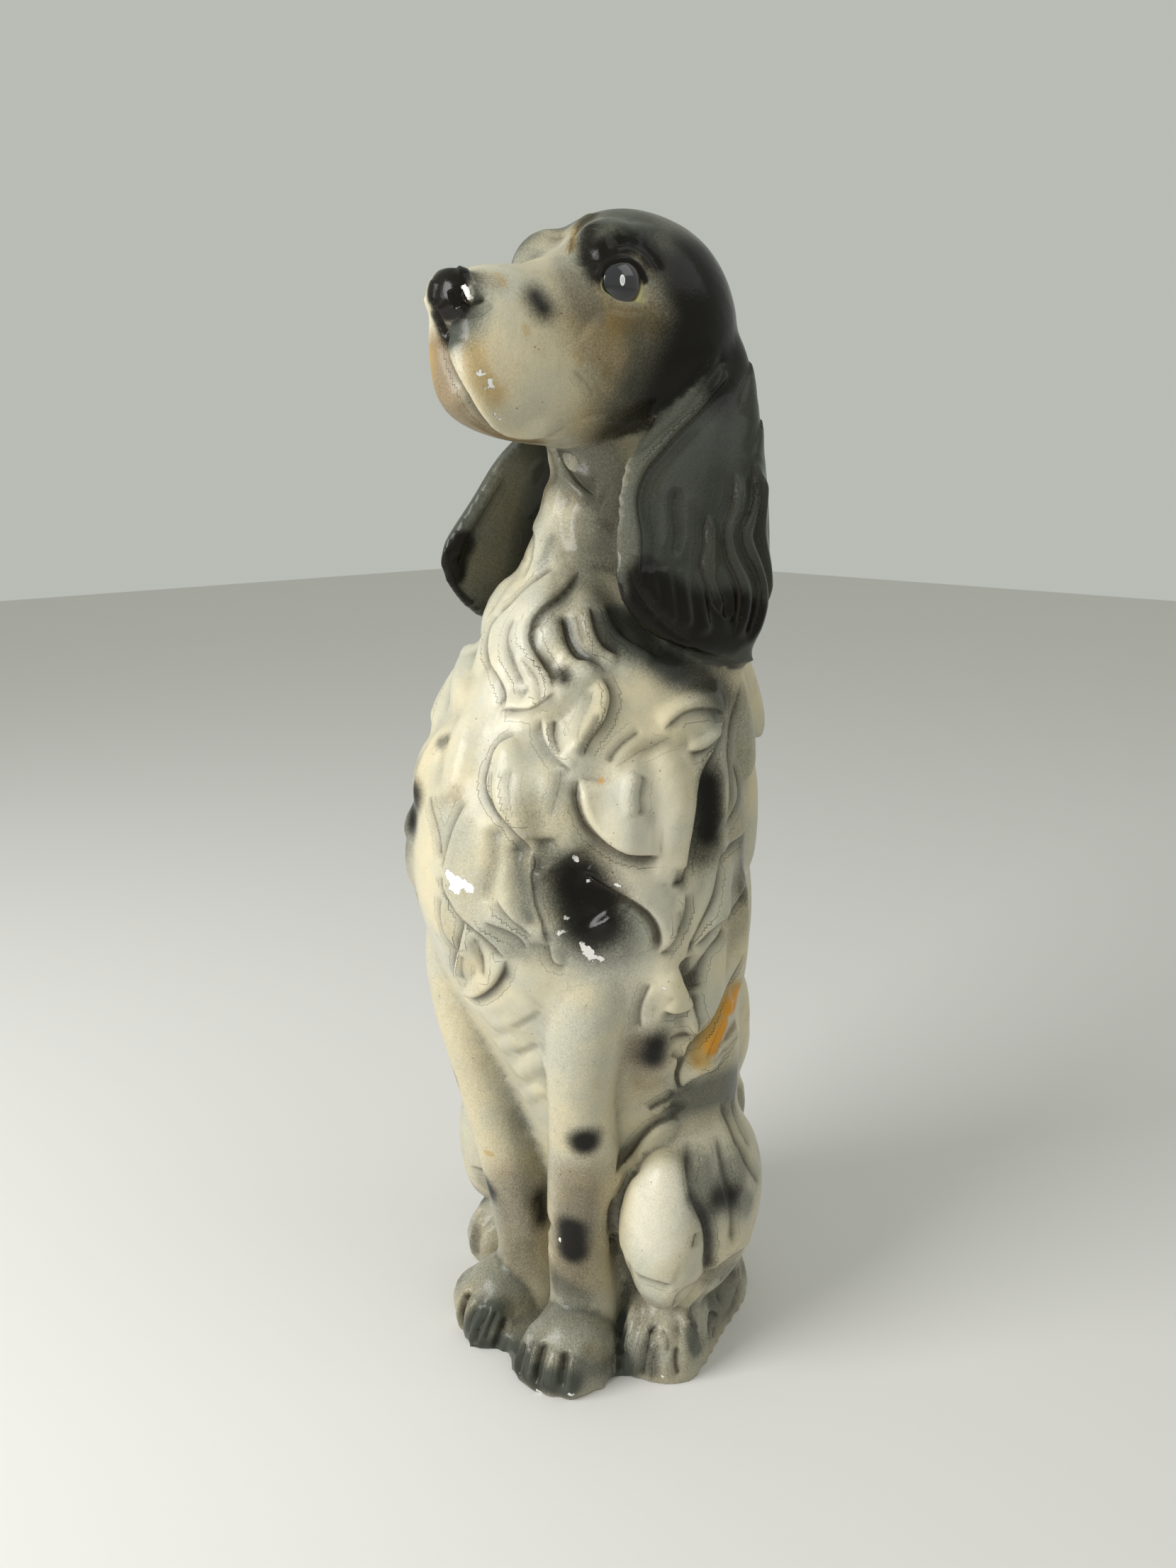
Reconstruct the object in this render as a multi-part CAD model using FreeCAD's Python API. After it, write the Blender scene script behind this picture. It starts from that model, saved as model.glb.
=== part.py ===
import FreeCAD, Part
import math
import os

# Seated spaniel figure, a hollow plaster casting luted together from cast sections.
# Millimetres, +Z up. The dog looks along -Y, its left side is +X, and the origin is on the
# table under the middle of the figure's outline.
Vector = FreeCAD.Vector

# Plaster and base
wall = 6.5
base_length = 126.0
base_width = 118.0
base_thickness = 8.0
base_centre_y = 16.0
base_edge_slope = 2.0
pour_hole_width = 46.0
pour_hole_length = 54.0

# Torso, from the base up to the stub of the neck inside the head
torso_height = 346.0
torso_width = 120.0
torso_depth = 128.0
torso_seam_y = 14.0

# Locks of fur that stand out of the torso
lock_width = 15.0
lock_thickness = 10.0
lock_sink = 1.2

# Head
head_length = 107.0
head_width = 76.0
head_height = 78.0
head_centre_y = -2.5
head_above_base = 374.0
head_wall = 9.0
brow_length = 34.0
brow_width = 25.0
brow_height = 32.0
nose_width = 21.0
nose_height = 17.0
nose_depth = 11.0
eye_width = 15.0
eye_height = 14.5
eye_depth = 10.0
eye_turn = -22.0

# Ears
ear_length = 121.0
ear_width = 76.0
ear_front_thickness = 9.0
ear_back_thickness = 20.0

# Forelegs and paws
foreleg_height = 185.0
foreleg_spacing = 31.0
foreleg_width = 27.0
foreleg_set_back = -7.0
forepaw_length = 38.0
forepaw_width = 32.0
forepaw_height = 28.0
forepaw_spacing = 41.0
forepaw_turn = 8.0

# Hind legs and paws
haunch_length = 70.0
haunch_width = 43.0
haunch_height = 86.0
haunch_above_base = 12.0
haunch_spacing = 83.0
knee_width = 30.0
knee_height = 66.0
knee_spacing = 97.0
knee_above_base = 56.0
hind_paw_length = 46.0
hind_paw_width = 31.0
hind_paw_height = 34.0
hind_paw_spacing = 81.0
hind_paw_turn = 33.0
right_hind_paw_out = 8.0

# Tail, laid round the left side on the base
tail_inset = 1.0
tail_height = 30.0
tail_width = 24.0
tail_tip_height = 18.0
tail_tip_width = 14.0
tail_start_angle = 96.0
tail_end_angle = 4.0

# One overrun for every cut, and the counts of points, toes and tail sections
overrun = 4.0
oval_points = 12
toe_count = 4
tail_steps = 7

# Rows of centre y, half width, half depth, evenly spaced up the torso: shares of its depth, width, depth
torso_shares = (
    (0.234, 0.350, 0.297),
    (0.230, 0.360, 0.300),
    (0.219, 0.385, 0.312),
    (0.176, 0.417, 0.340),
    (0.125, 0.446, 0.383),
    (0.063, 0.471, 0.438),
    (0.016, 0.492, 0.484),
    (0.004, 0.498, 0.496),
    (0.039, 0.471, 0.473),
    (0.098, 0.404, 0.414),
    (0.094, 0.267, 0.281),
    (0.118, 0.187, 0.205),
    (0.114, 0.173, 0.196),
)
# Locks of fur on both sides, then down the middle: the top's height, a share of the torso's, its degrees
# round from the front, and the same for the bottom
lock_shares = (
    (0.850, 14, 0.750, 14),
    (0.850, 30, 0.780, 43),
    (0.772, 42, 0.722, 16),
    (0.740, 98, 0.710, 66),
    (0.760, 46, 0.675, 36),
    (0.710, 15, 0.620, 27),
    (0.690, 27, 0.610, 44),
    (0.700, 57, 0.600, 58),
    (0.700, 71, 0.600, 73),
    (0.700, 94, 0.570, 92),
    (0.620, 31, 0.520, 40),
    (0.570, 52, 0.500, 60),
    (0.580, 104, 0.480, 84),
    (0.500, 72, 0.420, 75),
    (0.500, 100, 0.400, 82),
    (0.430, 102, 0.330, 78),
    (0.440, 65, 0.340, 67),
    (0.800, 118, 0.650, 114),
    (0.820, 144, 0.670, 140),
    (0.800, 168, 0.650, 164),
    (0.680, 128, 0.530, 132),
    (0.680, 153, 0.530, 157),
    (0.560, 118, 0.400, 112),
    (0.560, 142, 0.400, 138),
    (0.560, 167, 0.400, 163),
    (0.420, 126, 0.270, 130),
    (0.420, 152, 0.270, 156),
    (0.290, 141, 0.150, 138),
    (0.290, 166, 0.150, 163),
)
middle_lock_shares = (
    (0.850, 0, 0.730, 2),
    (0.730, -6, 0.640, -2),
    (0.690, 180, 0.530, 180),
    (0.430, 180, 0.270, 180),
)
# Rows of centre z, half width, half height, squareness, evenly spaced from the front of the muzzle
# to the back of the skull: shares of the head's height, width and height
head_shares = (
    (-0.092, 0.120, 0.220, 2.4),
    (-0.105, 0.235, 0.300, 2.6),
    (-0.113, 0.290, 0.330, 2.7),
    (-0.113, 0.325, 0.350, 2.7),
    (-0.088, 0.352, 0.385, 2.6),
    (-0.043, 0.385, 0.440, 2.4),
    (-0.008, 0.447, 0.488, 2.2),
    (0.005, 0.495, 0.500, 2.1),
    (0.000, 0.500, 0.488, 2.1),
    (-0.013, 0.454, 0.432, 2.1),
    (-0.026, 0.260, 0.245, 2.0),
)
# Places on the head, out from its middle: shares of its width, length and height
nose_place_shares = (0.000, -0.485, 0.075)
eye_place_shares = (0.312, -0.032, 0.150)
brow_place_shares = (0.171, 0.035, 0.220)
# Rows of front edge, back edge, stand-out, tuck of the front edge, evenly spaced down the ear from
# the head's middle: shares of its width twice, then of the head's width twice
ear_shares = (
    (0.450, 0.600, 0.360, 0.000),
    (0.390, 0.660, 0.450, 0.020),
    (0.270, 0.670, 0.530, 0.060),
    (0.150, 0.660, 0.590, 0.140),
    (-0.050, 0.645, 0.640, 0.165),
    (-0.150, 0.635, 0.675, 0.145),
    (-0.260, 0.630, 0.695, 0.090),
    (-0.260, 0.625, 0.705, 0.070),
    (-0.090, 0.590, 0.700, 0.040),
    (0.380, 0.520, 0.685, 0.000),
)
ear_top_share = 0.150
# Rows of x and y moved out, half width, evenly spaced up the leg: shares of its width
foreleg_shares = (
    (0.000, -0.020, 0.500),
    (0.000, 0.000, 0.460),
    (0.093, -0.120, 0.463),
    (0.270, -0.215, 0.500),
    (0.450, -0.445, 0.450),
    (0.610, -0.565, 0.490),
    (0.650, -0.480, 0.590),
    (0.540, -0.110, 0.550),
)
# How far forward of the torso's middle the paws, thigh and knee stand: shares of the torso's depth
forepaw_place_share = -0.223
haunch_place_share = 0.156
knee_place_share = -0.031
hind_paw_place_share = 0.047
# Points round the left half of the base from front to back: shares of its width and length
base_outline_shares = (
    (0.000, -0.444),
    (0.085, -0.488),
    (0.157, -0.496),
    (0.233, -0.464),
    (0.297, -0.400),
    (0.322, -0.325),
    (0.322, -0.262),
    (0.385, -0.228),
    (0.453, -0.192),
    (0.498, -0.132),
    (0.496, -0.055),
    (0.463, 0.037),
    (0.430, 0.143),
    (0.398, 0.254),
    (0.335, 0.365),
    (0.203, 0.462),
    (0.000, 0.500),
)
# How far out the tail lies at the left side: a share of the base's width
tail_side_share = 0.470
# The paw's instep and toes: shares of its length, width and height
instep_size_shares = (1.00, 0.90, 1.25)
instep_place_shares = (0.125, 0.333)
toe_size_shares = (0.28, 0.52, 0.92)
toe_reach_shares = (0.20, 0.040)
toe_spread_share = 0.9


def oval(centre, half_x, half_y, squareness=2.0):
    """A closed level section; squareness 2 is an ellipse and more is boxier."""
    points = []
    for i in range(oval_points):
        angle = 2 * math.pi * i / oval_points
        c, s = math.cos(angle), math.sin(angle)
        x = math.copysign(abs(c) ** (2 / squareness), c) * half_x
        y = math.copysign(abs(s) ** (2 / squareness), s) * half_y
        points.append(centre + Vector(x, y, 0))
    return smooth_ring(points)


def smooth_ring(points):
    """A closed smooth wire through the points, evenly parametrised so that lofts stay light."""
    curve = Part.BSplineCurve()
    curve.interpolate(Points=points, PeriodicFlag=True, Parameters=list(range(len(points) + 1)))
    return Part.Wire([curve.toShape()])


def solid_loft(rings):
    """A smooth solid through the rings, closed flat at both ends."""
    return Part.makeLoft(rings, True, False, False, 3)


def ellipsoid(centre, size_x, size_y, size_z, turn=0.0, poles_across=False):
    """An ellipsoid of those full sizes, turned about the vertical by turn degrees.

    The surface's two poles are upright, or across where a cut would run too close to them."""
    matrix = FreeCAD.Matrix()
    if poles_across:
        matrix.rotateY(math.pi / 2)
    matrix.scale(size_x / 2, size_y / 2, size_z / 2)
    matrix.rotateZ(math.radians(turn))
    matrix.move(centre)
    return Part.makeSphere(1).transformGeometry(matrix)


def largest(shape):
    """The biggest solid of a cut, without the slivers that a curved cut can leave."""
    return max(shape.Solids, key=lambda solid: solid.Volume)


def mirrored(shape):
    """The same piece on the dog's right side."""
    return shape.mirror(Vector(0, 0, 0), Vector(1, 0, 0))


def torso_loft(inset, bottom, top):
    """The torso and neck outline, drawn in by inset, between two heights above the base top."""
    rings = []
    for i, (centre_y, half_width, half_depth) in enumerate(torso_shares):
        level = bottom + (top - bottom) * i / (len(torso_shares) - 1)
        centre = Vector(0, centre_y * torso_depth, base_thickness + level)
        rings.append(oval(centre, half_width * torso_width - inset, half_depth * torso_depth - inset))
    return solid_loft(rings)


def on_torso(up, degrees):
    """A point on the torso, by its share of the height and the degrees round from the front."""
    place = up * (len(torso_shares) - 1)
    row = int(place)
    centre_y, half_width, half_depth = [
        low + (high - low) * (place - row) for low, high in zip(torso_shares[row], torso_shares[row + 1])
    ]
    across, forward = math.sin(math.radians(degrees)), math.cos(math.radians(degrees))
    reach = 1 / math.hypot(across / (half_width * torso_width), forward / (half_depth * torso_depth))
    return Vector(reach * across, centre_y * torso_depth - reach * forward, base_thickness + up * torso_height)


def lock(top_up, top_degrees, low_up, low_degrees):
    """A lock of fur, laid along the torso and sunk into it."""
    along = on_torso(top_up, top_degrees) - on_torso(low_up, low_degrees)
    degrees = (top_degrees + low_degrees) / 2
    out = FreeCAD.Rotation(Vector(0, 0, 1), degrees).multVec(Vector(0, -1, 0))
    middle = on_torso((top_up + low_up) / 2, degrees) - out * lock_sink
    shape = ellipsoid(Vector(0, 0, 0), lock_thickness, lock_width, along.Length, 0, True)
    shape.Placement = FreeCAD.Placement(middle, FreeCAD.Rotation(out, along.cross(out), along, "ZXY"))
    return shape


def locks():
    """Every lock of fur on the torso."""
    sides = [piece for row in lock_shares for piece in both_sides(lock(*row))]
    return sides + [lock(*row) for row in middle_lock_shares]


def head_loft(inset):
    """The skull and muzzle, drawn in by inset."""
    rings = []
    lay_down = FreeCAD.Rotation(Vector(1, 0, 0), 90)
    middle = Vector(0, head_centre_y, base_thickness + head_above_base)
    length = head_length - 2 * inset
    for i, (centre_z, half_width, half_height, squareness) in enumerate(head_shares):
        along = length * (i / (len(head_shares) - 1) - 1 / 2)
        ring = oval(
            Vector(0, 0, 0),
            half_width * head_width - inset / 2,
            half_height * head_height - inset,
            squareness,
        )
        ring.Placement = FreeCAD.Placement(middle + Vector(0, along, centre_z * head_height), lay_down)
        rings.append(ring)
    return solid_loft(rings)


def base_ring(level, inset):
    """The base's closed outline at one level."""
    scale_x = (base_width / 2 - inset) / (base_width / 2)
    scale_y = (base_length / 2 - inset) / (base_length / 2)
    left = [
        Vector(x * base_width * scale_x, base_centre_y + y * base_length * scale_y, level)
        for x, y in base_outline_shares
    ]
    right = [Vector(-point.x, point.y, level) for point in reversed(left[1:-1])]
    return smooth_ring(left + right)


def pour_hole():
    """The hole through the base that the plaster was poured in and drained by."""
    rings = [
        oval(Vector(0, torso_shares[0][0] * torso_depth, level), pour_hole_width / 2, pour_hole_length / 2)
        for level in (-overrun, base_thickness + overrun)
    ]
    return Part.makeLoft(rings, True, True)


def below_table():
    """Everything under the table top, for cutting feet flat."""
    return Part.makeBox(
        4 * base_width,
        4 * base_length,
        base_width,
        Vector(-2 * base_width, -2 * base_length, -base_width),
    )


def foreleg():
    """The dog's left foreleg, from the base top up into the shoulder."""
    torso_front = (torso_shares[0][0] - torso_shares[0][2]) * torso_depth
    rings = []
    for i, (out_x, out_y, half_width) in enumerate(foreleg_shares):
        centre = Vector(
            foreleg_spacing / 2 + out_x * foreleg_width,
            torso_front + foreleg_set_back + out_y * foreleg_width,
            base_thickness + foreleg_height * i / (len(foreleg_shares) - 1),
        )
        rings.append(oval(centre, half_width * foreleg_width, half_width * foreleg_width))
    return solid_loft(rings)


def paw(centre, length, width, height, turn):
    """A paw with its toes, pointing along -Y before it is turned."""
    wide, long, high = instep_size_shares
    back, rise = instep_place_shares
    instep = ellipsoid(Vector(0, back * length, rise * height), wide * width, long * length, high * height)
    toes = []
    toe_pitch = toe_spread_share * width / toe_count
    wide, long, high = toe_size_shares
    reach, fall = toe_reach_shares
    for i in range(toe_count):
        side = i - (toe_count - 1) / 2
        toe_place = Vector(side * toe_pitch, -(reach - fall * side * side) * length, height / 4)
        toes.append(ellipsoid(toe_place, wide * width, long * length, high * height))
    whole = instep.multiFuse(toes)
    whole.rotate(Vector(0, 0, 0), Vector(0, 0, 1), turn)
    whole.translate(centre)
    return largest(whole.cut(below_table()))


def forepaw():
    """The dog's left forepaw."""
    centre = Vector(forepaw_spacing / 2, forepaw_place_share * torso_depth, 0)
    return paw(centre, forepaw_length, forepaw_width, forepaw_height, forepaw_turn)


def hind_paw(out):
    """The dog's left hind paw, moved out by that much."""
    centre = Vector(hind_paw_spacing / 2 + out, hind_paw_place_share * torso_depth, 0)
    return paw(centre, hind_paw_length, hind_paw_width, hind_paw_height, hind_paw_turn)


def haunch():
    """The dog's left thigh, with the knee in front of it."""
    thigh = ellipsoid(
        Vector(
            haunch_spacing / 2,
            haunch_place_share * torso_depth,
            base_thickness + haunch_above_base + haunch_height / 2,
        ),
        haunch_width,
        haunch_length,
        haunch_height,
    )
    knee = ellipsoid(
        Vector(knee_spacing / 2, knee_place_share * torso_depth, base_thickness + knee_above_base),
        knee_width,
        knee_width,
        knee_height,
    )
    return thigh.fuse(knee)


def ear():
    """The dog's left ear, a flap that hangs from the back of the skull and widens round the neck."""
    rings = []
    last = len(ear_shares) - 1
    side_points = oval_points // 2
    top = base_thickness + head_above_base + ear_top_share * head_height
    for i, (front, back, stand_out, tuck) in enumerate(ear_shares):
        level = top - ear_length * i / last
        outer, inner = [], []
        for j in range(side_points):
            along = j / (side_points - 1)
            y = head_centre_y + (front + (back - front) * along) * ear_width
            x = (stand_out - tuck * (1 - along) ** 2) * head_width
            thickness = ear_front_thickness + (ear_back_thickness - ear_front_thickness) * along
            rounding = thickness / 4 if j in (0, side_points - 1) else 0
            outer.append(Vector(x - rounding, y, level))
            inner.append(Vector(x - thickness + rounding, y, level))
        rings.append(smooth_ring(outer + inner[::-1]))
    return solid_loft(rings)


def tail():
    """The feathered tail, lying on the base round the left side."""
    rings = []
    lay_down = FreeCAD.Rotation(Vector(1, 0, 0), 90)
    for i in range(tail_steps):
        t = i / (tail_steps - 1)
        degrees = tail_start_angle + (tail_end_angle - tail_start_angle) * t
        angle = math.radians(degrees)
        high = tail_height + (tail_tip_height - tail_height) * t
        wide = tail_width + (tail_tip_width - tail_width) * t
        drawn_in = tail_inset + base_edge_slope + wide / 2
        centre = Vector(
            (tail_side_share * base_width - drawn_in) * math.cos(angle),
            base_centre_y + (base_length / 2 - drawn_in) * math.sin(angle),
            high / 2,
        )
        turn = FreeCAD.Rotation(Vector(0, 0, 1), degrees)
        ring = oval(Vector(0, 0, 0), wide / 2, high / 2)
        ring.Placement = FreeCAD.Placement(centre, turn.multiply(lay_down))
        rings.append(ring)
    return solid_loft(rings)


def on_head(place_shares):
    """A point on the dog's left side of the head."""
    x, y, z = place_shares
    middle = Vector(0, head_centre_y, base_thickness + head_above_base)
    return middle + Vector(x * head_width, y * head_length, z * head_height)


def both_sides(piece):
    """The piece and its mirror image."""
    return [piece, mirrored(piece)]


def build():
    """Every section of the casting, by name, each cut where it meets the ones it is luted to."""
    torso = largest(torso_loft(0, 0, torso_height).multiFuse(locks()))
    hollow = torso_loft(wall, -overrun - base_thickness, torso_height + overrun)
    brow = ellipsoid(on_head(brow_place_shares), brow_width, brow_length, brow_height)
    head = head_loft(0).multiFuse(both_sides(brow))
    left_eye = ellipsoid(on_head(eye_place_shares), eye_depth, eye_width, eye_height, eye_turn, True)
    nose = ellipsoid(on_head(nose_place_shares), nose_width, nose_depth, nose_height)
    slab = Part.makeLoft([base_ring(0, 0), base_ring(base_thickness, base_edge_slope)], True, True)
    slab = slab.cut(pour_hole())

    parts = {"base_slab": slab}
    shell = torso.cut(hollow)
    far = 4 * torso_height
    front_space = Part.makeBox(far, far, far, Vector(-far / 2, torso_seam_y - far, -far / 2))
    back_space = Part.makeBox(far, far, far, Vector(-far / 2, torso_seam_y, -far / 2))
    parts["torso_front"] = largest(shell.common(front_space))
    parts["torso_back"] = largest(shell.common(back_space))
    head_shell = head.cut(torso).cut(head_loft(head_wall)).cut(hollow)
    for eye in both_sides(left_eye):
        head_shell = head_shell.cut(eye)
    parts["head_shell"] = largest(head_shell)
    parts["nose"] = largest(nose.cut(head))

    left_foreleg = largest(foreleg().cut(torso))
    left_forepaw = largest(forepaw().cut(left_foreleg).cut(torso).cut(slab))
    left_haunch = largest(haunch().cut(torso).cut(left_foreleg).cut(slab).cut(below_table()))
    hind_paws = [hind_paw(0), hind_paw(right_hind_paw_out)]
    for neighbour in (left_haunch, torso, left_foreleg, left_forepaw, slab):
        hind_paws = [largest(piece.cut(neighbour)) for piece in hind_paws]
    pairs = {
        "eye": left_eye,
        "ear": ear().cut(head).cut(torso),
        "foreleg": left_foreleg,
        "forepaw": left_forepaw,
        "haunch": left_haunch,
    }
    for name, piece in pairs.items():
        left, right = both_sides(largest(piece))
        parts["left_" + name] = left
        parts["right_" + name] = right
    parts["left_hind_paw"] = hind_paws[0]
    parts["right_hind_paw"] = mirrored(hind_paws[1])
    tail_piece = tail()
    for neighbour in (torso, left_haunch, parts["right_haunch"], hind_paws[0], slab, below_table()):
        tail_piece = tail_piece.cut(neighbour)
    parts["tail"] = largest(tail_piece)
    return parts


def main():
    parts = build()
    bounds = Part.makeCompound(list(parts.values())).optimalBoundingBox(False, False)
    shift = Vector(-bounds.Center.x, -bounds.Center.y, -bounds.ZMin)
    print("shift", shift, "size", bounds.XLength, bounds.YLength, bounds.ZLength)
    os.makedirs("parts", exist_ok=True)
    for name, shape in parts.items():
        shape.translate(shift)
        print(name, len(shape.Solids), shape.isValid(), round(shape.Volume))
        shape.exportStep("parts/" + name + ".step")


main()
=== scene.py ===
import math

import bmesh
import bpy
import numpy as np
from mathutils import Matrix, Vector
from mathutils.bvhtree import BVHTree


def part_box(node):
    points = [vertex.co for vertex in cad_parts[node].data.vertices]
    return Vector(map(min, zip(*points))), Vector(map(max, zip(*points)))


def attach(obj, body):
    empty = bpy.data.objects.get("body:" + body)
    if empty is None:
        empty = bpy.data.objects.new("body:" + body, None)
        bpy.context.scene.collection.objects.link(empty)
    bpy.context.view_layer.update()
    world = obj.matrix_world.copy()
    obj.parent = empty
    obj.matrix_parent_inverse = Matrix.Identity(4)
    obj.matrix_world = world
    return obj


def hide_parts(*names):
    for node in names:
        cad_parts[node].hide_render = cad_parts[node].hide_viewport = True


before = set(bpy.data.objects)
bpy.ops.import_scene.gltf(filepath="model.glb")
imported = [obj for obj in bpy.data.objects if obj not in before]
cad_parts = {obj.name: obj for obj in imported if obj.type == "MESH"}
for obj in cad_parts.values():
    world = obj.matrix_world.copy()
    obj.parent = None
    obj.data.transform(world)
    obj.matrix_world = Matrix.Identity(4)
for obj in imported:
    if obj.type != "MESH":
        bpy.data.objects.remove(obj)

bl_info = {
    "name": "Chalkware Spaniel",
    "version": (1, 0, 0),
    "blender": (4, 5, 0),
    "location": "3D Viewport > Sidebar > Chalkware",
    "description": "Carves, paints and stages a seated chalkware spaniel round its plain sections",
    "category": "Object",
}

MM = 0.001

# The camera that the photograph was taken with, in the part's frame
PHOTO_WIDTH = 1659
PHOTO_HEIGHT = 2212
FOCAL_PX = 1663.0
CAMERA_PLACE = (0.2997, -0.3014, 0.338)
CAMERA_AZIMUTH = 45.0
CAMERA_PITCH = 15.0
MIDDLE_X = 1.996  # the dog's middle plane, mm

# The sections of the casting, and the slot that each one takes its paint from
SECTIONS = {
    "base_slab": "painted_feet",
    "torso_front": "painted_plaster",
    "torso_back": "painted_plaster",
    "head_shell": "painted_head",
    "nose": "nose_paint",
    "left_ear": "painted_ears",
    "right_ear": "painted_ears",
    "left_foreleg": "painted_plaster",
    "right_foreleg": "painted_plaster",
    "left_forepaw": "painted_feet",
    "right_forepaw": "painted_feet",
    "left_haunch": "painted_plaster",
    "right_haunch": "painted_plaster",
    "left_hind_paw": "painted_feet",
    "right_hind_paw": "painted_feet",
    "tail": "painted_plaster",
}
EYES = ("left_eye", "right_eye")
NAMES = list(SECTIONS)

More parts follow.
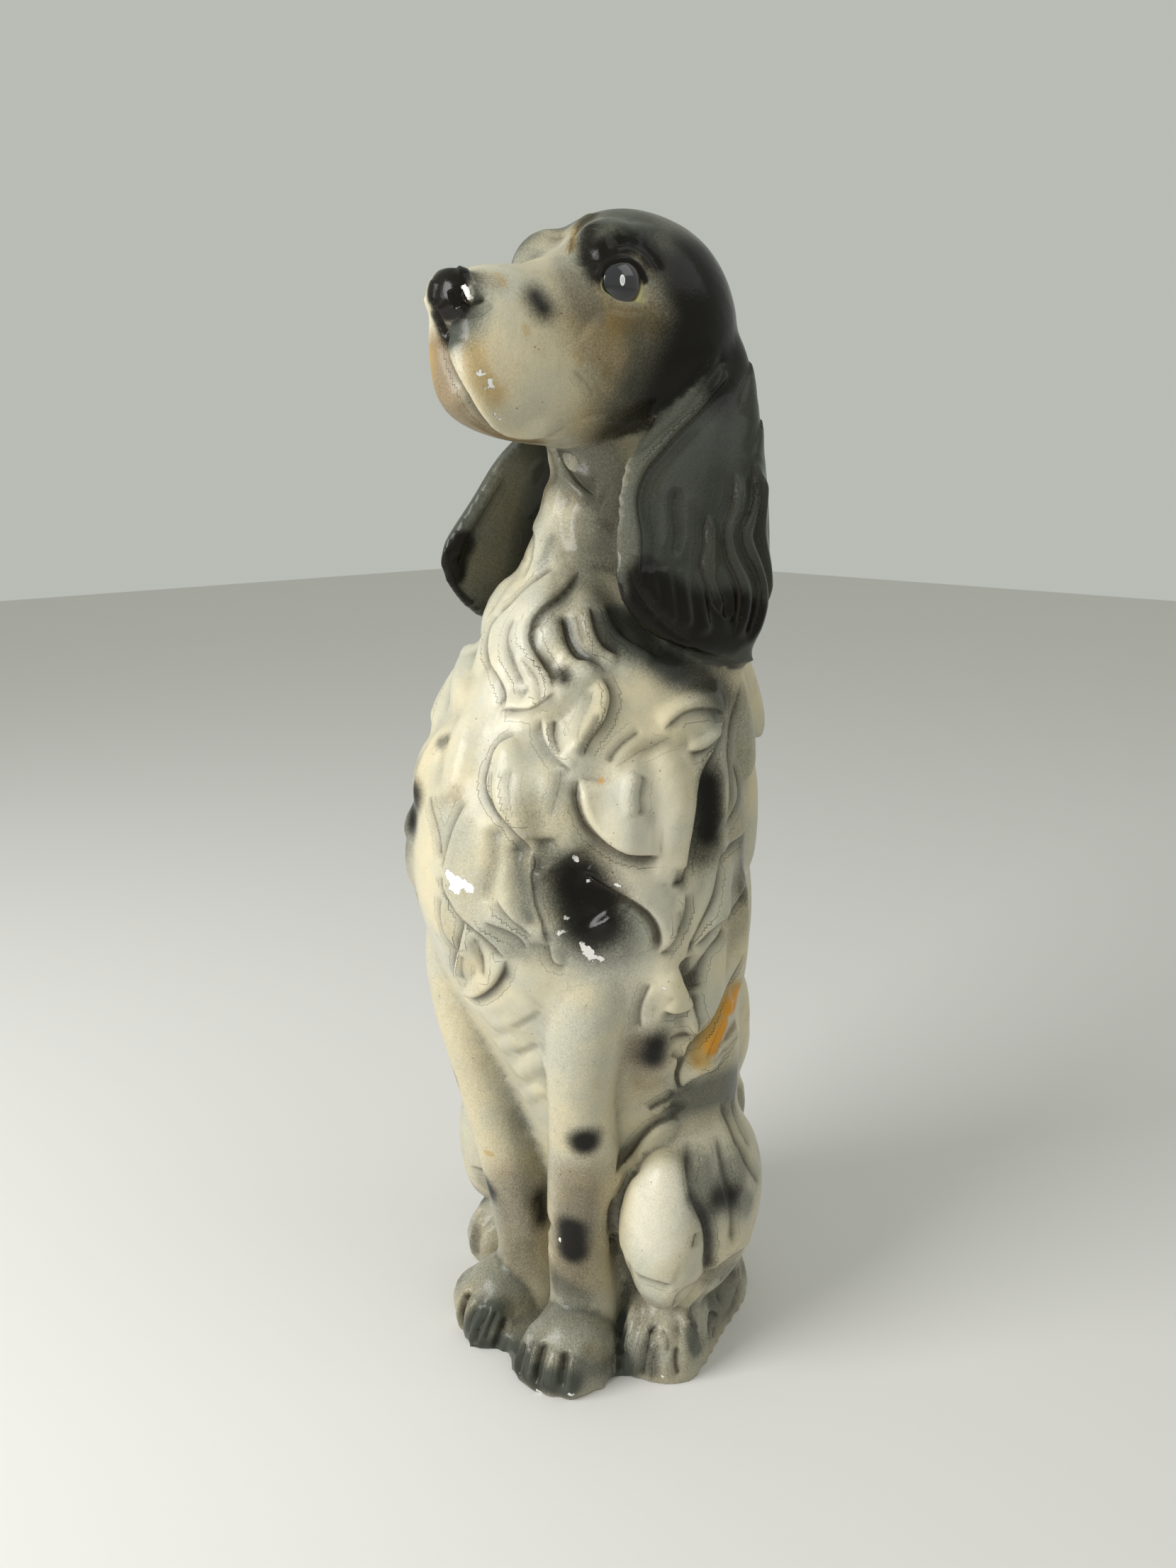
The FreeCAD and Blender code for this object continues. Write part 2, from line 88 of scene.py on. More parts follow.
# Carved lines, traced on the photograph in its pixels: kind, height and width in mm, path.
# R and L stand up on the right or left of the path's way, G is a groove, B a swell, D a dip.
CHEST_CUTS = {
    "lock_1": ("G", 0.5, 1.2, "740,742 737,752 739,765 742,792"),
    "lock_2": ("L", 0.9, 6, "760,712 756,725 755,745 754,765 752,785 748,800 742,810 737,817"),
    "valley_1": ("D", 1.1, 4, "808,690 797,705 791,720 789,740 790,760 795,775 800,788"),
    "mane_edge": (
        "R", 2.4, 10,
        "818,806 812,815 806,825 797,835 787,843 770,857 757,868 750,882 748,898 752,914 758,925 768,940 "
        "778,955 783,972",
    ),
    "mane_top": ("L", 1.0, 6, "782,803 764,814 752,822 740,832 728,846 716,858 703,867"),
    "mane_left": (
        "L", 1.3, 7,
        "705,865 695,880 689,895 687,912 690,932 699,948 708,963 714,978 715,990 713,1003",
    ),
    "mane_in_1": ("G", 0.7, 1.8, "728,872 720,884 716,896 716,908 720,920 728,940 734,952 739,966"),
    "mane_in_2": ("G", 0.8, 1.6, "738,930 750,945 758,955 763,967 765,980 762,992"),
    "mane_tip": ("L", 1.2, 6, "706,1003 725,1002 752,1002 768,990 785,978"),
    "rib": ("B", 1.2, 4.5, "700,1008 722,1012 748,1010 774,988 808,962 822,948 845,942"),
    "tongue_1": ("R", 1.6, 6, "793,870 795,890 800,905 806,920 815,930 830,937 848,940"),
    "tongue_1_body": ("B", 1.0, 5, "768,880 770,900 780,920 795,938"),
    "tongue_2": ("R", 1.6, 6, "833,856 838,880 842,897 850,910 860,918 874,923"),
    "tongue_2_line": ("G", 0.5, 1.2, "811,868 815,880 817,895 824,908"),
    "tongue_3": ("R", 1.4, 5, "853,852 862,875 872,890 885,902 900,910 925,922"),
    "shelf": ("L", 1.4, 7, "938,1030 946,1020 955,1013 965,1005 985,999 1008,1000 1022,1008"),
    "shelf_low": ("R", 1.5, 7, "1022,1010 1020,1025 1015,1037 1005,1048 995,1057 985,1062 968,1062"),
    "mantle": (
        "R", 2.8, 12,
        "1017,1030 1010,1055 1002,1070 994,1083 988,1095 984,1110 981,1130 977,1150 973,1175 970,1200 "
        "967,1225 965,1245",
    ),
    "s_line": ("R", 1.6, 7, "850,956 860,972 862,988 856,1012 846,1028 834,1042 826,1056 823,1070"),
    "s_line_2": ("G", 0.8, 1.8, "845,1008 843,1020 835,1030 827,1042 821,1056 819,1068"),
    "soft_1": ("G", 0.4, 3.3, "838,975 834,990 828,1003 820,1017 817,1030 816,1045"),
    "soft_2": ("G", 0.5, 3.8, "952,1040 938,1044 926,1052 912,1057 898,1063 884,1073 868,1082"),
    "soft_3": ("G", 0.7, 1.8, "903,1032 890,1040 880,1048 872,1056 864,1066 859,1077"),
    "hook_1": ("L", 0.9, 5, "764,1013 763,1028 765,1040 770,1052 778,1062 787,1073 797,1082 808,1088"),
    "hook_2": ("G", 0.8, 1.6, "783,1016 781,1030 782,1042 785,1053 791,1065"),
    "bib": (
        "L", 1.7, 9,
        "728,1036 712,1044 703,1052 699,1060 695,1072 690,1085 686,1097 685,1107 687,1118 692,1130 "
        "700,1142 708,1153 718,1165 730,1178 740,1190 750,1202",
    ),
    "bib_2": ("L", 0.8, 4, "699,1088 698,1105 699,1125 702,1140 710,1153"),
    "bib_3": ("G", 0.4, 3.8, "722,1085 718,1105 719,1125 722,1140 728,1157"),
    "bib_4": ("G", 0.4, 3.6, "792,1085 793,1100 788,1118 782,1135 777,1155"),
    "fine_2": ("G", 0.6, 3.0, "908,1092 904,1115 903,1135 904,1152"),
    "fine_2_side": ("B", 0.9, 3.5, "897,1092 890,1115 889,1135 894,1150"),
    "belly_lock": (
        "L", 2.8, 12,
        "816,1100 815,1120 818,1140 826,1160 838,1175 853,1189 868,1199 884,1206 905,1209 930,1208",
    ),
    "flank_1": ("G", 0.7, 1.4, "606,1122 608,1140 613,1155 618,1172 620,1188 620,1200 622,1212"),
    "flank_2": ("L", 0.9, 6, "657,1132 647,1150 640,1165 635,1180 631,1195 627,1210 624,1226"),
    "arm_lock": (
        "L", 1.9, 8,
        "623,1235 627,1255 634,1268 642,1282 651,1295 660,1303 672,1312 684,1322 695,1332 705,1342 "
        "712,1354",
    ),
    "arm_tip": (
        "L", 2.2, 8,
        "653,1298 652,1318 648,1338 643,1354 642,1370 646,1386 653,1400 662,1408 672,1408 686,1400 "
        "699,1391 708,1378 713,1364 714,1352",
    ),
    "arm_in_1": ("G", 0.7, 2.2, "668,1322 676,1340 682,1358 684,1376"),
    "arm_in_2": ("G", 0.7, 2.2, "657,1345 654,1362 656,1380"),
    "arm_side": ("L", 1.0, 4, "622,1268 621,1288 623,1303 628,1318 636,1332 645,1346"),
    "valley_2": ("D", 1.1, 4.5, "694,1165 700,1185 700,1200 697,1220 690,1240 684,1260 683,1277"),
    "valley_3": ("D", 1.8, 5, "728,1185 730,1210 733,1230 736,1255 742,1280 748,1297 754,1315"),
    "bib_end": (
        "R", 1.3, 6,
        "750,1202 753,1212 752,1224 750,1237 750,1252 751,1270 755,1285 762,1300 768,1315 774,1332",
    ),
    "hollow_1": ("D", 2.0, 6, "765,1180 764,1205 762,1232"),
    "tip_2": ("L", 0.9, 5, "700,1270 707,1283 718,1295 730,1305 742,1315 752,1321"),
    "tip_3": ("L", 0.9, 5, "685,1300 700,1307 715,1313 728,1320 737,1328 744,1340"),
    "tip_4": ("L", 1.0, 5, "774,1332 777,1343 776,1352 779,1360 787,1366 798,1362"),
    "under": ("D", 2.6, 14, "790,1215 812,1245 835,1275 852,1300"),
    "under_rim": (
        "L", 2.2, 9,
        "822,1236 850,1251 875,1262 895,1273 912,1285 923,1297 930,1312 931,1328 927,1342",
    ),
    "under_in": ("B", 1.0, 5, "885,1290 900,1305 908,1325 905,1342"),
}
BODY_CUTS = {
    "side_1": ("R", 1.2, 5, "968,1260 967,1280 963,1295 957,1310 948,1325 940,1337 932,1347"),
    "side_2": ("G", 0.6, 1.3, "958,1283 957,1300 952,1315"),
    "notch": ("D", 1.6, 3.5, "958,1222 957,1236 960,1250"),
    "back_1": (
        "R", 1.2, 6,
        "1016,1190 1013,1210 1012,1228 1010,1245 1006,1262 999,1279 990,1295 981,1311 975,1325 971,1340 "
        "969,1352",
    ),
    "back_2": (
        "R", 1.8, 8,
        "1052,1250 1044,1263 1035,1277 1025,1289 1014,1301 1003,1313 992,1325 981,1336",
    ),
    "back_3": ("R", 1.8, 7, "1051,1165 1048,1176 1038,1185 1026,1192 1018,1203 1012,1216"),
    "back_4": ("G", 1.1, 2.6, "1022,1308 1017,1320 1008,1330 998,1342 990,1355 984,1370 980,1386"),
    "back_5": (
        "R", 1.9, 8,
        "1049,1345 1040,1362 1030,1378 1022,1392 1013,1410 1005,1430 999,1448 985,1462 972,1470",
    ),
    "back_6": (
        "G", 0.9, 1.5,
        "1048,958 1042,985 1035,1005 1031,1025 1029,1050 1028,1075 1030,1100 1031,1125 1028,1145 "
        "1020,1165 1010,1183",
    ),
    "back_7": ("G", 0.8, 1.4, "1034,1075 1040,1095 1043,1115 1041,1135 1033,1150 1024,1165 1016,1180"),
    "hollow_2": ("D", 2.0, 4.5, "968,1352 971,1370 975,1387 981,1400"),
    "lobe": (
        "R", 1.9, 8,
        "958,1362 962,1380 968,1395 976,1405 978,1413 971,1421 960,1428 948,1430 936,1427",
    ),
    "lobe_left": ("L", 0.9, 5, "918,1388 909,1407 903,1422 902,1437 904,1450"),
    "body_edge": ("R", 1.4, 6, "977,1400 978,1415 982,1430 986,1445 984,1456 974,1468 968,1480 967,1492"),
    "lobe_low": ("G", 0.8, 1.5, "945,1467 958,1461 970,1458 982,1456"),
    "lobe_low_2": ("R", 1.1, 4, "944,1489 955,1489 962,1494 957,1503 954,1512 955,1524 959,1538"),
    "tuft": (
        "L", 2.2, 8,
        "970,1488 960,1500 955,1515 957,1528 962,1539 968,1528 980,1520 994,1511 1010,1500 1024,1486 "
        "1034,1471 1041,1455",
    ),
    "tuft_1": ("R", 1.3, 5, "1042,1400 1030,1425 1018,1445 1010,1462 1003,1480 995,1494"),
    "tuft_2": ("G", 0.8, 1.8, "1037,1458 1025,1475 1012,1488 1000,1497"),
    "fold_1": ("R", 1.6, 6, "915,1567 930,1557 945,1551 955,1543"),
    "hollow_3": ("D", 2.0, 5, "944,1556 955,1562 963,1574"),
    "hip_edge": ("R", 2.2, 9, "868,1655 882,1637 895,1620 905,1605 918,1592 932,1582 948,1577 962,1580"),
    "rib_1": ("B", 0.7, 4.5, "672,1411 690,1404 706,1395 722,1384"),
    "rib_2": ("B", 0.7, 4.1, "678,1428 700,1420 722,1415 745,1404"),
    "rib_3": ("B", 1.0, 4.5, "690,1444 706,1443 722,1438 740,1428 760,1418"),
    "rib_4": ("D", 0.5, 1.8, "725,1450 745,1440 764,1425"),
    "rib_5": ("B", 0.8, 4.1, "705,1478 716,1474 730,1467"),
    "rib_6": ("D", 0.5, 2.0, "728,1488 745,1482 757,1473"),
    "rib_7": ("B", 1.0, 4.5, "730,1516 742,1509 755,1500 770,1494"),
    "rib_8": ("B", 0.7, 3.6, "740,1550 752,1540 770,1536"),
    "haunch_1": (
        "G", 1.3, 4.4,
        "970,1608 971,1627 971,1645 974,1670 979,1690 986,1705 994,1720 998,1740 999,1760 998,1780 "
        "996,1797",
    ),
    "haunch_2": (
        "G", 1.1, 4.1,
        "1011,1600 1016,1625 1020,1648 1026,1670 1031,1690 1034,1712 1034,1735 1032,1757",
    ),
    "haunch_3": ("G", 1.1, 3.7, "1018,1555 1027,1580 1035,1600 1042,1618 1052,1638 1063,1656 1072,1670"),
    "haunch_4": ("G", 0.7, 2.7, "1032,1550 1036,1575 1046,1597 1058,1618"),
    "fur_1": ("B", 1.4, 5, "985,1625 990,1660 1000,1695 1010,1735 1012,1765"),
    "fur_2": ("B", 1.3, 5, "1032,1620 1042,1650 1050,1680"),
    "haunch_low": ("R", 1.3, 10.2, "1052,1758 1040,1765 1025,1775 1010,1786 997,1796"),
    "knee_left": (
        "L", 1.3, 11.7,
        "903,1652 888,1668 879,1688 874,1710 873,1732 876,1752 882,1770 891,1784 900,1796",
    ),
    "knee_left_2": ("G", 1.0, 2, "866,1690 861,1712 860,1735 863,1755 872,1772"),
    "knee_low": ("L", 1.1, 9.1, "895,1795 910,1802 930,1808 948,1812"),
    "knee_low_2": ("L", 1.0, 7.8, "948,1845 950,1833 958,1820 970,1811 985,1803 999,1791"),
    "ankle": ("D", 1.4, 5, "770,1700 772,1720 776,1745 774,1768"),
}
FOOT_CUTS = {
    "toe_1": ("G", 2.0, 2.0, "739,1893 734,1912 731,1930 730,1944"),
    "toe_2": ("G", 2.2, 2.2, "768,1893 763,1915 758,1935 755,1952"),
    "toe_3": ("G", 2.0, 2.2, "798,1905 796,1925 793,1945 792,1958"),
    "toe_4": ("G", 0.9, 1.4, "752,1890 748,1912 745,1935"),
    "toe_5": ("G", 2.0, 2.0, "662,1822 655,1842 650,1862 648,1880"),
    "toe_6": ("G", 2.0, 2.0, "688,1845 678,1866 670,1885 667,1900"),
    "toe_7": ("G", 2.0, 2.0, "715,1858 707,1877 700,1893 697,1912"),
    "toe_8": ("G", 0.9, 1.4, "675,1846 665,1862 660,1880"),
    "toe_9": ("G", 0.9, 1.4, "702,1850 692,1870 686,1890"),
    "toe_10": ("G", 2.4, 2.6, "926,1868 915,1885 908,1905 905,1925 906,1944"),
    "toe_11": ("G", 2.0, 2.2, "884,1868 878,1895 873,1918 874,1938"),
    "toe_12": ("R", 1.6, 5, "968,1846 972,1868 982,1882 988,1898 990,1915"),
    "toe_13": ("G", 1.0, 1.6, "955,1900 952,1920 957,1940"),
    "toe_14": ("G", 0.8, 1.4, "935,1875 945,1890 943,1908"),
    "tail_1": ("R", 1.6, 5, "1012,1858 1003,1846 996,1858 998,1880 1000,1897"),
    "tail_2": ("G", 0.9, 1.5, "1008,1872 1007,1888"),
    "tail_3": ("L", 1.6, 6, "985,1870 972,1852 975,1840 990,1822 1003,1805"),
    "tail_4": ("G", 1.0, 1.8, "1040,1790 1044,1808 1038,1828"),
    "tail_5": ("G", 0.9, 1.6, "1018,1800 1012,1822 1016,1845"),
    "tail_6": ("G", 0.9, 1.6, "1058,1775 1062,1795 1056,1815"),
}
EAR_CUTS = {
    "wave_1": (
        "L", 2.2, 7.5,
        "1036,670 1037,700 1032,720 1022,740 1019,755 1021,775 1027,795 1035,812 1042,825 1044,840 "
        "1043,860 1040,880 1036,897",
    ),
    "wave_2": (
        "L", 2.2, 7.5,
        "1062,650 1064,680 1062,700 1055,725 1045,742 1043,757 1048,775 1057,792 1066,808 1072,825 "
        "1073,845 1069,865 1062,885 1053,908",
    ),
    "wave_3": ("L", 1.8, 6.0, "1070,670 1072,700 1071,730 1070,755 1075,780 1081,805 1084,830 1083,850"),
    "wave_4": ("L", 1.9, 7.5, "998,725 994,745 995,765 990,785 988,800 992,815 1000,835 1005,855 1018,868"),
    "wave_5": ("G", 1.4, 3.6, "1010,805 1018,830 1027,855 1026,872"),
    "wave_10": ("G", 1.2, 3.6, "956,690 952,720 957,750 950,785"),
    "ear_band": (
        "R", 2.4, 8,
        "1030,532 1012,553 992,578 970,600 952,618 936,638 921,653 910,668 903,685 899,702 899,718 "
        "903,738 906,760 905,785 904,805 906,828",
    ),
    "ear_band_mid": ("G", 0.9, 2.4, "1022,500 1006,528 986,556 962,586 937,608 912,632 896,648"),
    "ear_top_1": ("L", 0.8, 7.8, "1057,470 1061,495 1060,515 1055,530 1048,543 1043,553 1041,566 1038,580"),
    "ear_top_2": ("L", 0.7, 6.2, "1072,555 1074,585 1073,605 1068,620 1062,637 1063,650"),
    "ear_tip_1": ("B", 0.9, 3, "915,800 922,840 930,872"),
    "ear_tip_2": ("B", 0.9, 3, "937,800 943,840 948,880"),
    "ear_tip_3": ("B", 0.9, 3, "960,800 965,845 970,885"),
    "ear_tip_4": ("B", 1.0, 3.5, "985,805 992,850 995,895"),
    "ear_rim": ("G", 0.8, 2.2, "888,800 893,820 902,838 914,854 930,872 950,890 975,905"),
    "far_rim": ("R", 1.4, 5, "712,672 700,692 688,712 676,732 668,746 660,760 654,778 648,795"),
    "far_fold": ("G", 1.0, 1.8, "672,748 664,757 657,766"),
}
FACE_CUTS = {
    "mouth": (
        "L", 2.6, 8,
        "634,468 633,485 636,502 642,518 651,538 661,557 676,581 693,600 710,609 728,614 750,615 775,611 "
        "795,605",
    ),
    "nostril": ("G", 1.4, 1.5, "650,402 651,415 655,427 662,431 673,429 683,418"),
    "nostril_in": ("D", 1.6, 2.2, "640,408 643,420 650,430"),
    "wing": ("B", 0.9, 3, "657,408 663,417 670,420"),
    "nose_bridge": ("B", 1.0, 4, "646,380 655,376 664,374"),
    "philtrum": ("G", 1.3, 1.8, "611,434 618,446 624,460 631,472"),
    "nose_ridge": ("B", 0.5, 3, "612,395 606,412 608,428"),
    "cheek": ("B", 1.3, 6, "830,458 849,479 866,495 888,510"),
    "cheek_dip": ("D", 1.0, 6, "850,525 875,540 900,545"),
    "jowl": ("D", 1.0, 7, "838,592 840,575 855,556"),
    "brow_edge": ("R", 1.2, 6, "845,300 826,311 812,325 808,342 803,360"),
    "brow_dip": ("D", 1.3, 4, "838,318 829,335 826,355 832,375"),
    "lid_fold": ("R", 1.1, 3.4, "860,350 872,345 888,346 903,350 915,362 923,375 930,388"),
    "lid_swell": ("B", 0.9, 5, "866,330 885,324 905,325 922,332"),
    "under_eye": ("D", 0.8, 3.5, "860,424 880,430 900,431 915,426"),
    "stop": ("D", 1.0, 8, "790,330 765,352 745,368"),
    "throat_1": ("R", 1.3, 6, "783,632 795,650 806,667 817,680 828,692 840,700"),
    "throat_2": ("D", 1.4, 5, "762,668 775,672 790,668"),
    "throat_3": ("B", 0.8, 5, "768,700 785,690 806,685 825,694 850,706"),
    "crack": ("G", 0.35, 0.5, "808,522 818,532 827,540 835,550 839,560"),
}
CUTS = {**CHEST_CUTS, **BODY_CUTS, **FOOT_CUTS, **EAR_CUTS, **FACE_CUTS}
EYE_OUTLINE = (
    "847,401 850,391 855,382 864,375 876,371 888,372 897,378 903,388 906,402 909,426 890,425 872,422 "
    "858,416 849,409"
)
IRIS = "878,394"
IRIS_EDGE = "902,394"
EYE_MIDDLE = "880,392"
NOSE_MIDDLE = "628,410"

# Airbrushed marks, with painted highlights and painted shade among them: colour channel, strength, radius of
# the core and soft edge in mm, nodes, path
HEAD = "head_shell nose"
EARS = "left_ear right_ear"
BODY = "torso left_haunch right_haunch tail"
LEGS = "foreleg"
EAR_BAND = "1008,505 990,532 965,568 930,615 905,650 888,685 880,730 884,790 893,822"
FAR_EAR = "722,680 705,730 695,780 682,820"
FEET = "base_slab forepaw hind_paw"
SPRAYS = {
    "nose_1": ("black", 1.5, 3.6, 4.5, HEAD, "626,392 620,410 628,425"),
    "nose_2": ("black", 1.2, 1.5, 4, HEAD, "640,388 645,410 648,430"),
    "nose_3": ("black", 0.9, 0.8, 4, HEAD, "616,448 624,462 631,478"),
    "nose_top": ("black", 0.9, 1, 6, HEAD, "640,380 652,384"),
    "lip_shade": ("grey", 0.7, 1, 5, "head_shell", "640,440 642,458 636,480"),
    "muzzle_spot": ("black", 0.95, 0.2, 8, "head_shell", "756,420 766,434"),
    "brow_1": ("black", 0.7, 1.2, 6, "head_shell", "832,322 827,345 830,368 840,388"),
    "brow_2": ("black", 1.0, 2, 5.5, "head_shell", "846,356 862,352 885,343 905,348 920,366"),
    "brow_3": ("grey", 0.6, 4, 8, "head_shell", "848,325 870,318 900,318"),
    "brow_4": ("black", 0.7, 1.2, 4, "head_shell", "848,375 846,388"),
    "temple": ("black", 0.85, 5, 19, "head_shell", "980,400 995,450 972,510 948,555"),
    "head_back": ("black", 0.9, 12, 16, "head_shell", "1010,400 1020,430 1012,480"),
    "cheek_back": ("black", 0.42, 3, 16, "head_shell", "925,575 890,600 862,612"),
    # Painted shadow along the underside of the jaw
    "jaw": ("black", 0.4, 2, 9, "head_shell", "850,618 880,606"),
    "lid_rim": (
        "black", 1.3, 1.0, 1.8, "head_shell",
        "850,391 857,378 866,369 880,365 894,368 902,378 907,392",
    ),
    "skull": ("grey", 0.55, 8, 20, "head_shell", "905,305 935,320 965,350 990,380"),
    "tan_eye": ("ochre", 0.55, 1.5, 9, "head_shell", "870,458 892,456 914,452 925,462"),
    "tan_lip": ("ochre", 0.42, 2, 8, "head_shell", "668,500 676,530 696,556"),
    "tan_brow": ("ochre", 0.55, 0.8, 3, "head_shell", "842,303 824,312 812,330 806,350"),
    "jaw_tan": ("tan", 0.62, 4, 9, "head_shell", "616,500 622,550 642,588 684,614 740,622"),
    "throat_tan": ("tan", 0.5, 3, 7, "torso", "762,660 770,690"),
    "ear_dark": ("black", 0.35, 6, 10, EARS, "1062,470 1070,560 1075,680 1078,800"),
    "ear_dark_2": ("black", 0.3, 2, 8, EARS, "1022,560 1020,620 1006,680 1000,735"),
    "ear_black": ("black", 1.2, 6, 9, EARS, "925,858 960,876 1000,885 1030,880"),
    "ear_black_2": ("black", 1.0, 3, 7, EARS, "905,815 915,838 930,850"),
    "ear_black_3": ("black", 1.0, 4, 7, EARS, "1040,870 1062,875"),
    "ear_brown": ("tan", 1.2, 2, 6, EARS, "965,930 990,934 1015,936 1040,934 1062,922"),
    "ear_root": ("black", 0.8, 4, 9, EARS + " head_shell", "1025,470 1030,500 1015,540"),
    "far_tip": ("black", 1.2, 3, 4, EARS, "655,768 643,790 640,808"),
    # Painted shadow on the chest below the ear
    "under_ear": ("grey", 0.6, 5, 13, "torso", "880,780 890,830 915,890 960,940 1010,975"),
    "under_ear_2": ("black", 0.55, 3, 9, "torso", "900,880 935,918 975,952 1020,975"),
    "neck_spot_1": ("black", 0.4, 0.6, 4, "torso", "846,735 862,741"),
    "neck_spot_2": ("black", 0.4, 0.6, 4, "torso", "838,800 864,804"),
    "neck_spot_3": ("grey", 0.3, 2, 6, "torso", "855,750 852,775 862,790"),
    "neck_stripe": ("grey", 0.3, 0.8, 4, "torso", "776,762 770,782 763,798"),
    "chest_black_1": ("black", 0.8, 0.8, 5, "torso", "795,950 797,957"),
    "chest_dark_1": ("black", 0.45, 1.2, 5, "torso", "792,880 798,905 812,925 835,935"),
    "chest_dark_2": ("black", 0.4, 1.2, 5, "torso", "842,872 850,900 870,918"),
    # Painted shadow on the chest below the ear's edge
    "chest_dark_3": ("grey", 0.8, 3, 8, "torso", "870,880 900,905 940,930"),
    "shoulder_brown": ("tan", 0.3, 1.2, 5, "torso", "615,1132 630,1128 648,1118"),
    "shoulder_spot": ("grey", 0.5, 1, 4, "torso", "622,1048 630,1044"),
    "shoulder_edge": ("black", 1.1, 0.5, 9, "torso", "585,1120 583,1160"),
    "big_1": ("black", 1.3, 1.2, 14, "torso", "824,1242 843,1275 846,1298"),
    "big_2": ("black", 0.6, 2, 10, "torso", "800,1250 812,1295 835,1325"),
    "big_3": ("grey", 0.42, 8, 14, "torso", "790,1240 830,1290 860,1330"),
    # Darkening in the carved dips: airbrushed grey and painted shade
    "hollow_a": ("black", 0.3, 1, 7, "torso", "766,1200 764,1225"),
    "hollow_b": ("grey", 0.38, 1, 6, "torso", "733,1200 738,1245 748,1290"),
    "hollow_c": ("grey", 0.3, 1, 6, "torso", "698,1180 699,1210 688,1250"),
    "hollow_d": ("grey", 0.3, 3, 10, "torso", "700,1325 740,1335"),
    "side_black": ("black", 1.0, 0.4, 9, "torso", "1000,1105 1003,1150 1000,1175"),
    "side_black_2": ("black", 0.4, 2, 8, "torso", "988,1120 985,1180 985,1210"),
    "side_black_3": ("black", 0.5, 2, 7, "torso", "1046,1190 1048,1260"),
    # Darkening in the notch and the dip below it: airbrushed black and painted shade
    "notch_black": ("black", 0.5, 1, 4, "torso", "958,1236 961,1248"),
    "notch_black_2": ("black", 0.5, 1.2, 5, "torso", "964,1370 971,1385"),
    "spot_low": ("black", 1.1, 0.5, 11, "torso", "925,1475 920,1492"),
    "spot_low_2": ("tan", 0.35, 4, 12, "torso", "905,1480 915,1525"),
    "waist": ("grey", 0.6, 5, 14, BODY, "965,1552 1000,1542 1035,1530"),
    "waist_2": ("black", 0.5, 1.5, 8, BODY, "1040,1535 1050,1560"),
    "orange_1": ("ochre", 0.7, 2.2, 6, "torso", "1036,1398 1024,1420 1012,1445 1000,1470 988,1492"),
    "orange_2": ("orange", 1.0, 1.2, 4.5, "torso", "1042,1400 1030,1428 1014,1458 1004,1475"),
    "orange_3": ("tan", 0.6, 0.5, 3, "torso", "1036,1445 1024,1463 1008,1482"),
    "haunch_black": ("black", 1.0, 0.3, 9, "haunch", "1012,1690 1028,1688"),
    "haunch_black_2": ("black", 0.6, 1, 5, "haunch", "973,1690 988,1712 998,1745 998,1780"),
    "haunch_grey": ("grey", 0.4, 3, 9, "haunch torso", "1040,1690 1055,1700"),
    "knee_shade": ("black", 0.35, 2, 7, "haunch torso foreleg", "865,1700 864,1740 872,1775 892,1800"),
    "leg_spot_1": ("black", 1.5, 0.4, 9.2, LEGS, "825,1611"),
    "leg_spot_2": ("black", 1.5, 0.4, 9.2, LEGS, "806,1735 808,1765"),
    "leg_spot_3": ("black", 1.2, 0.3, 8, LEGS, "680,1655 690,1678"),
    "leg_spot_4": ("black", 0.95, 0.5, 9, LEGS, "762,1690 765,1715"),
    "leg_grey": ("grey", 0.3, 4, 12, LEGS, "735,1580 745,1640 755,1690"),
    "leg_grey_2": ("grey", 0.2, 6, 12, LEGS, "700,1480 720,1560"),
    "shin": ("grey", 0.3, 3, 12, LEGS + " base_slab forepaw", "740,1760 730,1790"),
    "base_grey_1": ("grey", 0.4, 4, 10, "base_slab forepaw foreleg", "790,1815 815,1835"),
    "base_grey_2": ("black", 0.4, 2, 9, "base_slab haunch hind_paw", "880,1805 905,1835 935,1845"),
    "toes_1": ("grey", 0.85, 2.5, 8, "forepaw base_slab", "630,1840 648,1880 690,1900 715,1914"),
    "toes_2": ("grey", 0.85, 2.5, 8, "forepaw base_slab", "724,1915 745,1938 775,1950 800,1955"),
    "toes_3": ("grey", 0.4, 2, 6, "forepaw base_slab", "812,1925 830,1935 850,1930"),
    "toes_4": ("grey", 0.75, 2.5, 8, "hind_paw base_slab", "872,1895 880,1930"),
    "toes_5": ("black", 0.5, 1.5, 7, "hind_paw base_slab", "915,1905 920,1935"),
    "toes_6": ("grey", 0.6, 3, 5, "hind_paw base_slab", "980,1880 985,1900"),
    "toes_7": ("black", 0.5, 2, 8, "hind_paw base_slab", "668,1735 672,1760"),
    "tail_dark": ("black", 0.5, 2, 9, "tail haunch base_slab", "1000,1800 1030,1790 1060,1785"),
    "tail_grey": ("grey", 0.6, 8, 10, "tail base_slab", "990,1840 1030,1820"),
    # Feet darker towards the floor: grey-olive paint with painted shade
    "foot_grey": ("grey", 0.22, 10, 14, FEET, "700,1850 760,1850 850,1840 880,1880"),
    "base_stain": ("ochre", 0.3, 2, 7, "base_slab forepaw", "835,1905 855,1920"),
    "chest_ochre": ("ochre", 0.22, 2, 8, "torso", "845,1095 870,1082 900,1062"),
    "lip_ochre": ("ochre", 0.35, 0.4, 2.2, "head_shell", "702,386 712,402"),
    "cheek_ochre": ("ochre", 0.35, 0.3, 2, "head_shell", "741,460 743,470"),
    "cheek_ochre_2": ("ochre", 0.35, 0.4, 2.2, "head_shell", "814,500 820,508"),
    "leg_ochre": ("ochre", 0.5, 0.8, 1.6, LEGS, "686,1626 694,1629"),
    "orange_dot": ("orange", 0.6, 0.2, 1.2, "torso", "849,1099 847,1104"),
    # White marks: painted highlights on the knee, the toes' knuckles, the chest, the belly's rim and the
